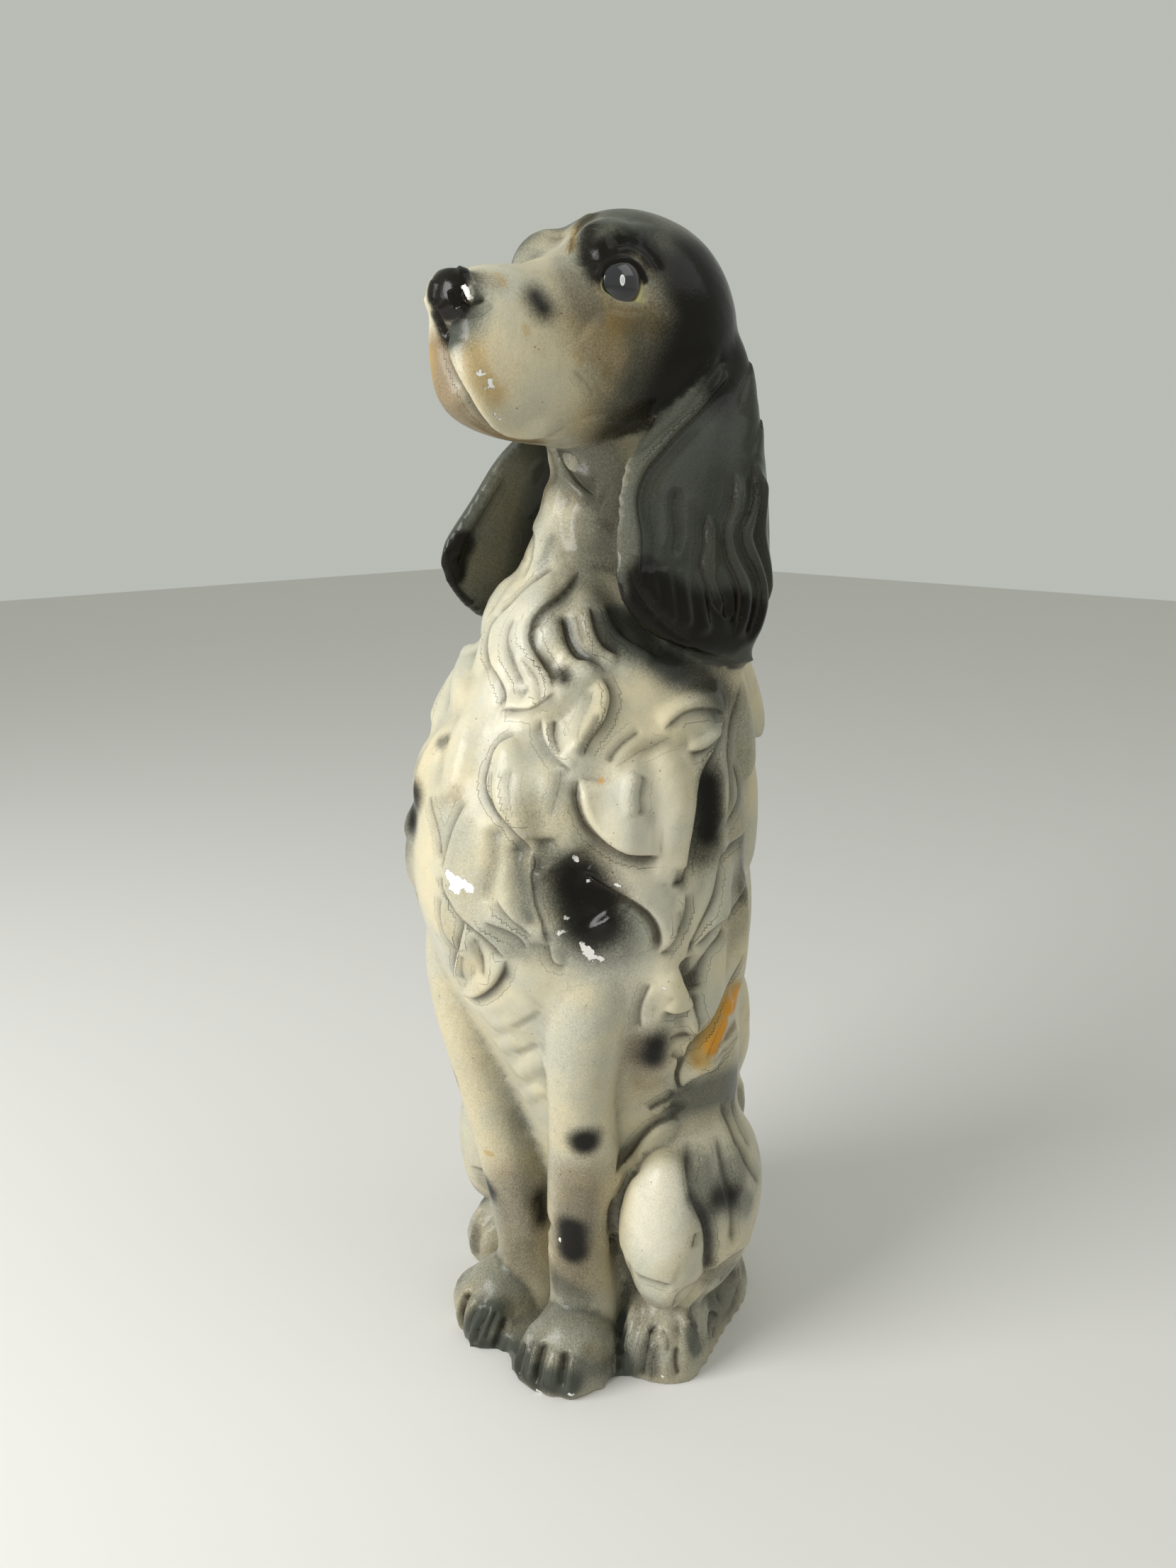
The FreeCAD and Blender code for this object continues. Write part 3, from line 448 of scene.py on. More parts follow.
    # haunch
    "knee_highlight": ("white", 1.0, 9, 7, "haunch", "930,1690 925,1740"),
    "toe_highlight_1": ("white", 1.0, 2, 3, "forepaw", "655,1803 662,1797"),
    "toe_highlight_2": ("white", 1.0, 2.4, 3, "forepaw", "682,1825 690,1818"),
    "toe_highlight_3": ("white", 1.0, 2.2, 3, "forepaw base_slab", "752,1868"),
    "toe_highlight_4": ("white", 1.0, 1.8, 3, "forepaw base_slab", "786,1886"),
    "chest_highlight": ("white", 0.7, 8, 12, "torso", "735,900 745,950 700,1000"),
    "belly_highlight": ("white", 0.7, 9, 14, "torso", "900,1130 920,1180 850,1470 880,1430"),
    "haunch_highlight": ("white", 0.6, 4, 8, "haunch", "985,1620 1030,1620"),
    "nose_mist": ("grey", 0.6, 2, 9, "head_shell", "655,392 660,440 648,470"),
    "muzzle_top": ("tan", 0.4, 1.5, 7, "head_shell", "670,388 700,396"),
    "face_side": ("grey", 0.5, 5, 16, "head_shell", "915,470 925,510 905,550 880,580"),
    "cheek_mist": ("tan", 0.4, 3, 12, "head_shell", "842,455 852,490 870,520 885,500"),
    "crown": ("grey", 0.42, 8, 14, "head_shell", "850,300 880,296"),
    "stop_mist": ("grey", 0.35, 4, 10, "head_shell", "800,350 812,395 830,430"),
    "tan_lip_2": ("ochre", 0.2, 3, 12, "head_shell", "690,490 720,540 760,590"),
    # Painted shadow on the throat under the jaw
    "throat": ("grey", 0.42, 8, 13, "torso", "800,650 840,655 860,690"),
    "neck_side": ("grey", 0.34, 7, 14, "torso", "850,700 842,750 848,800 862,850"),
    "neck_mid": ("grey", 0.2, 6, 12, "torso", "800,700 812,770 805,830"),
    "ear_band_paint": ("grey", -0.2, 3, 5, EARS, EAR_BAND),
    "chest_grey": ("grey", 0.35, 6, 14, "torso", "820,800 800,850 830,900"),
    "chest_low": ("grey", 0.3, 6, 14, "torso", "760,1150 770,1250 790,1330"),
    "flank_grey": ("grey", 0.35, 5, 14, "torso", "1040,1000 1040,1100 1040,1300"),
    "left_grey": ("grey", 0.22, 6, 14, "torso", "640,1150 650,1250 640,1320"),
    "toes_1b": ("black", 0.38, 0.8, 6, "forepaw base_slab", "628,1850 648,1890 690,1908"),
    "toes_2b": ("black", 0.38, 0.8, 6, "forepaw base_slab", "726,1922 745,1946 772,1958"),
    # Lower forelegs darker towards the floor: grey mist with painted shade
    "leg_mist": ("grey", 0.34, 4, 16, LEGS, "818,1690 812,1730 800,1800"),
    "leg_mist_2": ("grey", 0.32, 4, 15, LEGS, "700,1700 710,1750 690,1800"),
    "side_brown": ("tan", 0.2, 6, 12, "torso", "880,1400 890,1470 900,1550"),
    "face_wide": ("grey", 0.3, 8, 18, "head_shell", "835,440 862,490 870,545"),
    "ear_gloss": ("black", 0.25, 6, 9, EARS, "960,620 940,700 945,780"),
    "far_light": ("grey", -0.3, 6, 12, EARS, FAR_EAR),
    "far_light_2": ("black", -0.2, 6, 12, EARS, FAR_EAR),
    "tan_eye_2": ("ochre", 0.5, 0.8, 5, "head_shell", "868,462 885,458 905,452"),
    "ear_band_paint_2": ("black", -0.2, 3, 5, EARS, EAR_BAND),
    "face_olive": ("ochre", 0.38, 8, 18, "head_shell", "835,450 870,490 890,545 850,590"),
    "crown_olive": ("ochre", 0.25, 6, 14, "head_shell", "800,318 840,300 880,290"),
    # Lower forelegs browner and darker towards the floor, partly painted shade
    "leg_tan": ("tan", 0.42, 6, 18, LEGS, "815,1670 812,1730 800,1800"),
    "leg_tan_2": ("tan", 0.38, 5, 16, LEGS, "715,1670 735,1730 740,1790"),
    "haunch_mist": ("grey", 0.42, 5, 14, "haunch", "985,1650 1000,1700 1040,1650"),
    "side_black_4": ("grey", 0.5, 3, 12, "torso", "1003,1090 1003,1150 996,1200"),
    "ear_tip_bare": ("black", -0.75, 1, 5, EARS, "965,932 990,936 1015,938 1040,936 1062,925"),
}
# Guessed marks on the unseen back: channel, strength, radius, edge, nodes, degrees round the body and heights
BACK_SPRAYS = (
    ("black", 1.1, 9, 16, "torso", "84,296 92,280"),
    ("grey", 0.8, 12, 18, "torso", "70,300 90,270 112,288"),
    ("black", 0.8, 16, 22, "torso", "90,345 90,320"),
    ("black", 1.0, 6, 14, "torso", "108,205 104,190"),
    ("black", 0.9, 5, 13, "torso", "70,150 74,138"),
    ("grey", 0.6, 8, 16, "torso tail", "100,110 92,92"),
    ("tan", 0.4, 6, 16, "torso", "84,232 96,222"),
    ("black", 0.7, 5, 12, "torso tail haunch", "122,96 128,84"),
)
# Places where the paint is gone and white plaster shows
CHIPS = {
    "nose_chip": (0.9, "655,408 660,413 663,420"),
    "muzzle_1": (0.7, "676,526 682,527"),
    "muzzle_2": (0.7, "692,538"),
    "muzzle_3": (0.8, "688,547 692,546"),
    "muzzle_4": (0.35, "697,583 705,592"),
    "side_1": (1.6, "632,1232 640,1242 655,1247 663,1254"),
    "side_2": (1.2, "636,1250 646,1256"),
    "big_1": (1.0, "822,1332 828,1345 833,1352"),
    "big_2": (0.9, "830,1338 838,1350 850,1354"),
    "big_3": (0.6, "789,1317 797,1313"),
    "big_4": (0.5, "797,1293 801,1296"),
    "big_5": (0.7, "808,1210 815,1214"),
    "big_6": (0.4, "830,1242 838,1242"),
    "big_7": (0.35, "868,1248 874,1250"),
    "neck_pin": (0.3, "986,584"),
    "toe_1": (0.7, "724,1940 727,1944"),
    "toe_2": (0.8, "758,1962 761,1965"),
    "toe_3": (0.5, "772,1954"),
    "toe_4": (0.6, "805,1967 808,1968"),
    "toe_5": (0.6, "654,1884"),
    "toe_6": (0.5, "930,1938 935,1942"),
    "lobe": (0.45, "936,1394 937,1397"),
}
# Coats under the marks: colour channel, strength, nodes
COATS = (
    ("grey", 0.88, EARS),
    ("black", 0.20, EARS),
    # The feet and base darker towards the floor: their grey-olive paint with painted shade
    ("grey", 0.33, FEET),
    ("tan", 0.22, FEET),
    ("grey", 0.12, "torso head_shell"),
    ("grey", 0.19, "foreleg haunch"),
    ("tan", 0.15, LEGS),
)
COAT_BEHIND = 0.9  # black over the back of the head
BEHIND_FROM_SHARE = 0.66  # shares of the head's depth, from the front
BEHIND_FADE_SHARE = 0.16

# The pour hole and the plug that closes the hollow above it, half widths in m
HOLE_CENTRE_Y = 21.915  # mm
SHAFT_HALF = (0.0225, 0.0265)
PLUG_HALF = (0.0390, 0.0350)
PLUG_OVERLAP = 0.0015
PLUG_HEIGHT = 0.008
PLUG_SIDES = 64

# The skin that is fused round the sections
FINE_EYE = 13  # reach of the finer mesh round an eye and the nose, mm
FINE_NOSE = 16
FLOOR_TOUCH = 0.9  # skin below this height is laid on the floor, mm
JOINT_WIDTH = 5.0  # how far from a second section a joint is softened, mm
JOINT_BLUR = 6
SKIN_PASSES = 3
BODY_PASSES = 44

# Which face belongs to which section, in mm and faces
FAR_AWAY = 1e9
SECTION_MARGIN = 7
HOLE_INSIDE_Y = 22.0
HOLE_INSIDE_HALF = (25, 29)
HOLE_INSIDE_LEVELS = (0.6, 26.0)
VOTE_PASSES = 8
OWN_VOTE = 1.1
MEND_PASSES = 60
SCRAP_FACES = 400

# How a cut is read from the photograph and laid on the skin
CAST_STEP_PX = 6
BODY_MIDDLE = (0, 0, 200)
SEEN_SLACK = 2
MIRROR_CUTS_FROM = 10
MIRROR_MARKS_FROM = 6
CUT_SEEN_SHARE = 0.3
MARK_SEEN_SHARE = 0.4
TINY = 1e-6

# Profiles of the cuts, mm and shares of a cut's height or width
EDGE_RISE = 0.9
CREASE_WIDTH = 0.4
CREASE_SHARE = 0.45
CREASE_SPREAD_SHARE = 0.6
LOCK_MARGIN = 1.5
GROOVE_MARGIN = 2
GROOVE_LEAST = 0.45
GROOVE_WIDTH_SHARE = 0.5
GROOVE_LIP_SHARE = 0.4
GROOVE_DEPTH_SHARE = 1.4
END_POWER = 0.7
FACING_LEAST = 0.1
FACING_FADE = 0.3
MARK_TURN = 0.35
LINE_LEAST = 0.15
LINE_PER_MM = 0.45

# The guessed locks down the back: heights in mm, degrees round the body, 90 being the middle of the back
AXIS_Y = 12
RAY_START = 150
LOCK_LEVELS = range(343, 70, -31)
NECK_LEVEL = 300
NECK_DEGREES = range(76, 112, 14)
BACK_DEGREES = range(54, 142, 14)
ROW_SHIFT = 7
LOCK_JITTER = 3
LOCK_LENGTHS = (46, 74)
LOCK_SWINGS = (3.0, 6.5)
LOCK_DRIFT = 4
LOCK_WAVES = 0.8
LOCK_STARTS = (0, 0.6)
LOCK_HEIGHTS = (1.1, 1.9)
LOCK_WIDTHS = (7, 10)
LOCK_STEPS = 14
LOCK_LEAST_POINTS = 6

# The eye openings in mm, and the eyeballs in m and degrees
EYE_REACH = 7
EYE_HEART = 12
PIT_DEPTH = 1.3
PIT_EDGE = 0.16
PIT_SHIFT = 0.3
LID_RIDGE = 1.3
LID_WIDTH = 1.1
LID_LOWER = 0.55
LID_UPPER = 0.75
LID_FADE = 3
LID_LEAST = 0.3
RIM_EDGE = 0.15
STEEP = 20  # past this the curve of an edge is flat
BALL_HALF = (0.0050, 0.0075, 0.00725)
BALL_TURN = 22.0
LOOKING_AWAY = 20

# Caps that close the hidden ends of the sections
CAP_INSET = 1.2  # how far under the skin they stay, mm
CAP_RINGS = 16
CAP_SINK_RINGS = 3
CAP_SMOOTH = 12
HOLE_RIM_LEAST = 200
HOLE_APEX_LEVEL = 60.0

# Smoothing, and the values that the paint reads
SMOOTH_STEP = 0.5
BACK_STEP = 0.95
CARVED_SMOOTH = 0.6
CARVED_KEEP = 0.2
JOINT_KEEP = 0.25
MASK_PASSES = 4
HOLLOW_PASSES = 5
VALLEY_PASSES = 38
BLUR_SHARE = 0.6
FAR_EDGE = 4.0  # value of a line or chip that isn't near, mm
FADE_POWER = 1.5
BOTH_SHARE = 0.4

# Colours that are no setting
# Cream white of the painted highlights
PAINTED_HIGHLIGHT = (0.74, 0.72, 0.62)
SPECK_BROWN = (0.05, 0.035, 0.02)
CREASE_BROWN = (0.05, 0.04, 0.025)
EYE_YELLOW = (0.45, 0.42, 0.22)
LID_SHADE = (0.01, 0.009, 0.008)
IRIS_DARK = (0.012, 0.012, 0.016)
IRIS_BROWN = (0.10, 0.05, 0.035)
IRIS_LINE = (0.01, 0.008, 0.008)
SPARK_EDGE = (0.85, 0.85, 0.83)
SPARK_HEART = (0.35, 0.35, 0.34)
FLOOR_COLOUR = (0.72, 0.71, 0.69, 1)
ROOM_COLOUR = (0.84, 0.87, 0.80, 1)

# The stage: sizes in m, and lights by name, way from the dog (right, up, forward), distance, size and watts
FLOOR_SIZE = 6
FLOOR_ROUGHNESS = 0.9
ROOM_STRENGTH = 0.58
STAGE_TARGET = (0, 0, 0.2)
SENSOR = 36.0
LIGHTS = (
    ("window", (-1.0, 0.35, -0.7), 1.1, 0.6, 13),
    ("room_light", (0.8, 0.9, -0.6), 1.6, 1.0, 3),
)
# Paint channels; white holds the painted highlights
CHANNELS = ("black", "grey", "tan", "ochre", "orange", "white")


class ChalkSizes(bpy.types.PropertyGroup):
    """Sizes of the carving."""

    voxel: bpy.props.FloatProperty(
        name="Skin mesh",
        description="Edge length of the first skin mesh",
        default=0.0019,
        min=0.001,
        unit="LENGTH",
    )
    relief: bpy.props.FloatProperty(
        name="Relief",
        description="Height of the carved fur, as a share of the traced height",
        default=1.0,
        min=0.0,
    )
    spread: bpy.props.FloatProperty(
        name="Spread",
        description="Width of the carved locks, as a share of the traced width",
        default=1.25,
        min=0.1,
    )
    soften: bpy.props.IntProperty(
        name="Softening",
        description="Passes that round the joints between the sections",
        default=9,
        min=0,
    )
    softness: bpy.props.FloatProperty(
        name="Spray softness",
        description="Width of the sprayed edges, as a share of the stated width",
        default=1.2,
    )
    hollow_depth: bpy.props.FloatProperty(
        name="Hollow depth",
        description="How far up the pour hole is open",
        default=0.018,
        unit="LENGTH",
    )
    seed: bpy.props.IntProperty(
        name="Seed",
        description="Seed of the guessed fur on the unseen sides",
        default=5,
    )


def colour(name, description, *values):
    """A colour that the user can change."""
    return bpy.props.FloatVectorProperty(
        name=name,
        description=description,
        subtype="COLOR",
        size=3,
        default=values,
    )


class ChalkColours(bpy.types.PropertyGroup):
    """Colours of the paint."""

    cream: colour("Cream", "Ground coat", 0.58, 0.545, 0.41)
    # Dirt and painted shade, laid in the small hollows
    shade: colour("Grime and shade", "Dirt in the creases", 0.15, 0.12, 0.075)
    # Mist: airbrushed grey and painted shade, darker in the valleys and on the low side of the creases
    mist_and_shade: colour("Mist", "Airbrushed shade in the valleys", 0.105, 0.105, 0.082)
    black: colour("Black", "Airbrushed black", 0.006, 0.005, 0.003)
    grey: colour("Grey", "Airbrushed grey", 0.055, 0.060, 0.048)
    tan: colour("Brown", "Airbrushed brown", 0.19, 0.125, 0.06)
    ochre: colour("Ochre", "Airbrushed ochre", 0.43, 0.27, 0.07)
    orange: colour("Orange", "Airbrushed orange", 0.62, 0.27, 0.02)
    plaster: colour("Plaster", "Bare plaster in the chips", 0.80, 0.78, 0.74)
    eye_white: colour("Eye white", "Painted white of the eye", 0.72, 0.70, 0.36)


# Geometry helpers


def deselect():
    bpy.ops.object.select_all(action="DESELECT")


def make_active(obj):
    deselect()
    obj.select_set(True)
    bpy.context.view_layer.objects.active = obj


def read_points(text):
    return np.array([[float(v) for v in pair.split(",")] for pair in text.split()])


def camera_axes():
    """Right, up and forward of the photograph's camera."""
    az, pitch = math.radians(CAMERA_AZIMUTH), math.radians(CAMERA_PITCH)
    flat = Vector((-math.sin(az), math.cos(az), 0))
    right = Vector((math.cos(az), math.sin(az), 0))
    forward = flat * math.cos(pitch) - Vector((0, 0, 1)) * math.sin(pitch)
    return right, right.cross(forward), forward


def pixel_ray(pixel):
    right, up, forward = camera_axes()
    x = (pixel[0] - PHOTO_WIDTH / 2) / FOCAL_PX
    y = (PHOTO_HEIGHT / 2 - pixel[1]) / FOCAL_PX
    return (forward + right * x + up * y).normalized()


def cast(tree, pixels):
    """Points and normals on the skin, in mm, under a path of pixels, in steps of a few pixels."""
    origin = Vector(CAMERA_PLACE) / MM
    found = []
    last = None
    path = [pixels[0]]
    for a, b in zip(pixels[:-1], pixels[1:]):
        n = max(1, int(np.linalg.norm(b - a) / CAST_STEP_PX))
        path += [a + (b - a) * (i + 1) / n for i in range(n)]
    for pixel in path:
        hit, normal, _, distance = tree.ray_cast(origin, pixel_ray(pixel))
        if hit is None:
            ray = pixel_ray(pixel)
            guess = origin + ray * (last if last else (Vector(BODY_MIDDLE) - origin).length)
            hit, normal, _, _ = tree.find_nearest(guess)
        else:
            last = distance
        found.append((hit, normal))
    return np.array([h for h, _ in found]), np.array([n for _, n in found])


def smooth_path(points, normals):
    """The path rounded a little, so that it doesn't show the tracing's corners."""
    if len(points) > 4:
        for _ in range(2):
            points = points.copy()
            points[1:-1] = (points[:-2] + 2 * points[1:-1] + points[2:]) / 4
    return points, normals


def mirrored_path(tree, points):
    """The same path on the dog's other side, laid on the skin."""
    other = points.copy()
    other[:, 0] = 2 * MIDDLE_X - other[:, 0]
    found = [tree.find_nearest(Vector(p)) for p in other]
    return np.array([f[0] for f in found]), np.array([f[1] for f in found])


def seen(tree, points):
    """Share of the points that the camera sees."""
    origin = Vector(CAMERA_PLACE) / MM
    count = 0
    for p in points:
        way = Vector(p) - origin
        hit, _, _, distance = tree.ray_cast(origin, way.normalized())
        count += hit is not None and distance > way.length - SEEN_SLACK
    return count / len(points)


def mesh_arrays(mesh):
    verts = np.empty(len(mesh.vertices) * 3)
    mesh.vertices.foreach_get("co", verts)
    normals = np.empty(len(mesh.vertices) * 3)
    mesh.vertex_normals.foreach_get("vector", normals)
    return verts.reshape(-1, 3) / MM, normals.reshape(-1, 3)


def write_verts(mesh, verts):
    mesh.vertices.foreach_set("co", (verts * MM).ravel())
    mesh.update()


def mesh_edges(mesh):
    edges = np.empty(len(mesh.edges) * 2, int)
    mesh.edges.foreach_get("vertices", edges)
    return edges.reshape(-1, 2)


def neighbours_mean(values, edges, count):
    out = np.zeros_like(values)
    a, b = edges[:, 0], edges[:, 1]
    degree = np.bincount(a, minlength=count) + np.bincount(b, minlength=count)
    for k in range(values.shape[1]):
        out[:, k] = np.bincount(a, weights=values[b, k], minlength=count)
        out[:, k] += np.bincount(b, weights=values[a, k], minlength=count)
    return out / np.maximum(degree, 1)[:, None]


def relax(verts, edges, passes, weight, keep=0.53):
    """Smoothing in pairs of passes, the second of which gives part of the first back."""
    count = len(verts)
    for _ in range(passes):
        verts = verts + SMOOTH_STEP * weight * (neighbours_mean(verts, edges, count) - verts)
        verts = verts - keep * BACK_STEP * weight * (neighbours_mean(verts, edges, count) - verts)
    return verts


def blur(values, edges, passes, share):
    """Values of the vertices, evened out with their neighbours' in passes."""
    for _ in range(passes):
        values = (1 - share) * values + share * neighbours_mean(values, edges, len(values))
    return values


def islands(count, pairs):
    """The lowest index in each connected group, for each of count things joined by pairs."""
    label = np.arange(count)
    while True:
        new = label.copy()
        np.minimum.at(new, pairs[:, 0], label[pairs[:, 1]])
        np.minimum.at(new, pairs[:, 1], label[pairs[:, 0]])
        new = np.minimum(new, new[new])
        if (new == label).all():
            return label
        label = new


def edit_verts(obj, chosen):
    """Opens the mesh in edit mode with only the chosen vertices selected."""
    make_active(obj)
    bpy.ops.object.mode_set(mode="EDIT")
    bpy.ops.mesh.select_mode(type="VERT")
    bpy.ops.mesh.select_all(action="DESELECT")
    bpy.ops.object.mode_set(mode="OBJECT")
    obj.data.vertices.foreach_set("select", chosen)
    bpy.ops.object.mode_set(mode="EDIT")


def tree_of(mesh):
    verts, _ = mesh_arrays(mesh)
    return BVHTree.FromPolygons([tuple(v) for v in verts], [tuple(p.vertices) for p in mesh.polygons])


# The plain casting


def plug(depth):
    """A solid that closes the hollow above the pour hole, shaft walls included."""
    foot = Vector(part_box("torso_back")[0]).z - PLUG_OVERLAP
    centre = Vector((MIDDLE_X * MM, HOLE_CENTRE_Y * MM, 0))
    rings = (
        (SHAFT_HALF, foot),
        (PLUG_HALF, foot),
        (PLUG_HALF, depth + PLUG_HEIGHT),
        (SHAFT_HALF, depth),
    )
    sides = PLUG_SIDES
    verts, faces = [], []
    for (half_x, half_y), level in rings:
        for i in range(sides):
            angle = 2 * math.pi * i / sides
            verts.append(centre + Vector((half_x * math.cos(angle), half_y * math.sin(angle), level)))
    for ring, other in ((0, 1), (1, 2), (3, 0)):
        for i in range(sides):
            j = (i + 1) % sides
            faces.append((ring * sides + i, ring * sides + j, other * sides + j, other * sides + i))
    faces.append(tuple(range(2 * sides, 3 * sides)))
    faces.append(tuple(reversed(range(3 * sides, 4 * sides))))
    mesh = bpy.data.meshes.new("plug")
    mesh.from_pydata(verts, [], faces)
    obj = bpy.data.objects.new("plug", mesh)
    bpy.context.collection.objects.link(obj)
    make_active(obj)
    bpy.ops.object.mode_set(mode="EDIT")
    bpy.ops.mesh.select_all(action="SELECT")
    bpy.ops.mesh.normals_make_consistent(inside=False)
    bpy.ops.object.mode_set(mode="OBJECT")
    return obj


def fuse(sizes):
    """One skin round copies of all the sections."""
    copies = []
    for name in NAMES + list(EYES):
        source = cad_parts[name]
        copy = bpy.data.objects.new("copy_" + name, source.data.copy())
        bpy.context.collection.objects.link(copy)
        copies.append(copy)
    copies.append(plug(sizes.hollow_depth))
    deselect()
    for copy in copies:
        copy.select_set(True)
    bpy.context.view_layer.objects.active = copies[0]
    bpy.ops.object.join()
    skin = bpy.context.object
    skin.name = "skin"
    skin.data.materials.clear()
    remesh = skin.modifiers.new("skin", "REMESH")
    remesh.mode = "VOXEL"
    remesh.voxel_size = sizes.voxel * 1.0
    bpy.ops.object.modifier_apply(modifier=remesh.name)
    keep_largest(skin)
    return skin


def keep_largest(obj):
    """Only the biggest connected island stays."""
    label = islands(len(obj.data.vertices), mesh_edges(obj.data))
    kinds, counts = np.unique(label, return_counts=True)
    if len(kinds) > 1:
        edit_verts(obj, label != kinds[counts.argmax()])
        bpy.ops.mesh.delete(type="VERT")
        bpy.ops.object.mode_set(mode="OBJECT")


def nearest_sections(verts):
    """For each vertex: the section that it lies nearest to, and how much farther the next one is."""
    count = len(verts)
    first = np.full(count, FAR_AWAY)
    second = np.full(count, FAR_AWAY)
    owner = np.zeros(count, int)
    for index, name in enumerate(NAMES):
        tree = tree_of(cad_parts[name].data)
        low, high = (np.array(c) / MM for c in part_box(name))
        near = np.where(((verts > low - SECTION_MARGIN) & (verts < high + SECTION_MARGIN)).all(1))[0]
        reach = np.full(count, FAR_AWAY)
        reach[near] = [tree.find_nearest(Vector(verts[i]))[3] for i in near]
        better = reach < first
        second = np.where(better, first, np.minimum(second, reach))
        owner[better] = index
        first = np.where(better, reach, first)
    bottom, top = HOLE_INSIDE_LEVELS
    half_x, half_y = HOLE_INSIDE_HALF
    inside = (verts[:, 2] < top) & (verts[:, 2] > bottom)
    inside &= ((verts[:, 0] - MIDDLE_X) / half_x) ** 2 + ((verts[:, 1] - HOLE_INSIDE_Y) / half_y) ** 2 < 1
    owner[inside] = NAMES.index("base_slab")
    second[inside] = FAR_AWAY
    return owner, second - first


def label_faces(mesh):
    """The section that each face of the skin belongs to, and how near each vertex is to a second one."""
    verts, _ = mesh_arrays(mesh)
    owner, gap = nearest_sections(verts)
    faces = [tuple(p.vertices) for p in mesh.polygons]
    labels = np.array([np.bincount(owner[list(f)]).argmax() for f in faces])
    edge_faces = {}
    for index, face in enumerate(faces):
        for a, b in zip(face, face[1:] + face[:1]):
            edge_faces.setdefault((min(a, b), max(a, b)), []).append(index)
    pairs = np.array([f for f in edge_faces.values() if len(f) == 2])
    keys = np.array([k for k, f in edge_faces.items() if len(f) == 2])
    kinds = len(NAMES)
    for _ in range(VOTE_PASSES):
        votes = np.zeros((len(faces), kinds))
        votes[np.arange(len(faces)), labels] += OWN_VOTE
        np.add.at(votes, (pairs[:, 0], labels[pairs[:, 1]]), 1)
        np.add.at(votes, (pairs[:, 1], labels[pairs[:, 0]]), 1)
        labels = votes.argmax(1)
    labels = own_islands(labels, pairs, kinds)
    for _ in range(MEND_PASSES):
        pinched = pinched_verts(labels, pairs, keys)
        if not pinched:
            break
        fans = {}
        for index, face in enumerate(faces):
            for v in face:
                if v in pinched:
                    fans.setdefault(v, []).append(index)
        for around in fans.values():
            labels[around] = np.bincount(labels[around]).argmax()
        labels = own_islands(labels, pairs, kinds)
    return labels, gap


def pinched_verts(labels, pairs, keys):
    """The vertices where a section's border touches itself."""
    cut = labels[pairs[:, 0]] != labels[pairs[:, 1]]
    tally = {}
    for (a, b), (f, g) in zip(keys[cut], pairs[cut]):
        for v in (a, b):
            for kind in (labels[f], labels[g]):
                tally[(v, kind)] = tally.get((v, kind), 0) + 1
    return {v: kind for (v, kind), n in tally.items() if n > 2}


def own_islands(labels, pairs, kinds):
    """Small scraps of a section that lie apart from it go to the section round them."""
    group = islands(len(labels), pairs[labels[pairs[:, 0]] == labels[pairs[:, 1]]])
    sizes = np.bincount(group, minlength=len(labels))
    largest = np.zeros(kinds, int)
    for kind in range(kinds):
        mine = np.unique(group[labels == kind])
        if len(mine):
            largest[kind] = mine[sizes[mine].argmax()]
    stray = (group != largest[labels]) & (sizes[group] < SCRAP_FACES)
    for _ in range(MEND_PASSES):
        if not stray.any():
            break
        for a, b in ((0, 1), (1, 0)):
            take = stray[pairs[:, a]] & ~stray[pairs[:, b]]
            labels[pairs[take, a]] = labels[pairs[take, b]]
            stray[pairs[take, a]] = False
    return labels


# Carving and sprayed marks


def fade(u):
    return (1 - np.clip(u, 0, 1) ** 2) ** 2


def near_path(verts, points, normals, reach):
    """For the vertices in reach of a path: index, distance to its right, place along it 0 to 1, distance."""
    low, high = points.min(0) - reach, points.max(0) + reach
    index = np.where(((verts >= low) & (verts <= high)).all(1))[0]
    if len(points) == 1 or len(index) == 0:
        if len(index) == 0:
            return index, np.zeros(0), np.zeros(0), np.zeros(0)
        away = np.linalg.norm(verts[index] - points[0], axis=1)
        keep = away < reach
        return index[keep], away[keep], np.full(keep.sum(), 0.5), away[keep]
    best = np.full(len(index), FAR_AWAY)
    side = np.zeros(len(index))
    along = np.zeros(len(index))
    lengths = np.linalg.norm(np.diff(points, axis=0), axis=1)
    total = max(lengths.sum(), TINY)
    run = 0.0
    for i in range(len(points) - 1):
        a, way = points[i], points[i + 1] - points[i]
        length = lengths[i]
        if length < TINY:
            continue
        close = np.abs(verts[index] - (a + way / 2)).max(1) < reach + length
        local = verts[index[close]] - a
        t = local @ way / length**2
        foot = np.clip(t, 0, 1)
        gap = local - foot[:, None] * way
        distance = np.linalg.norm(gap, axis=1)
        right = np.cross(way / length, normals[i])
        where = np.where(close)[0]
        better = distance < best[where]
        where, distance, gap, foot = where[better], distance[better], gap[better], foot[better]
        best[where] = distance
        side[where] = np.sign(gap @ right + 1e-9)
        along[where] = (run + foot * length) / total
        run += length
    keep = best < reach
    return index[keep], (side * best)[keep], along[keep], best[keep]


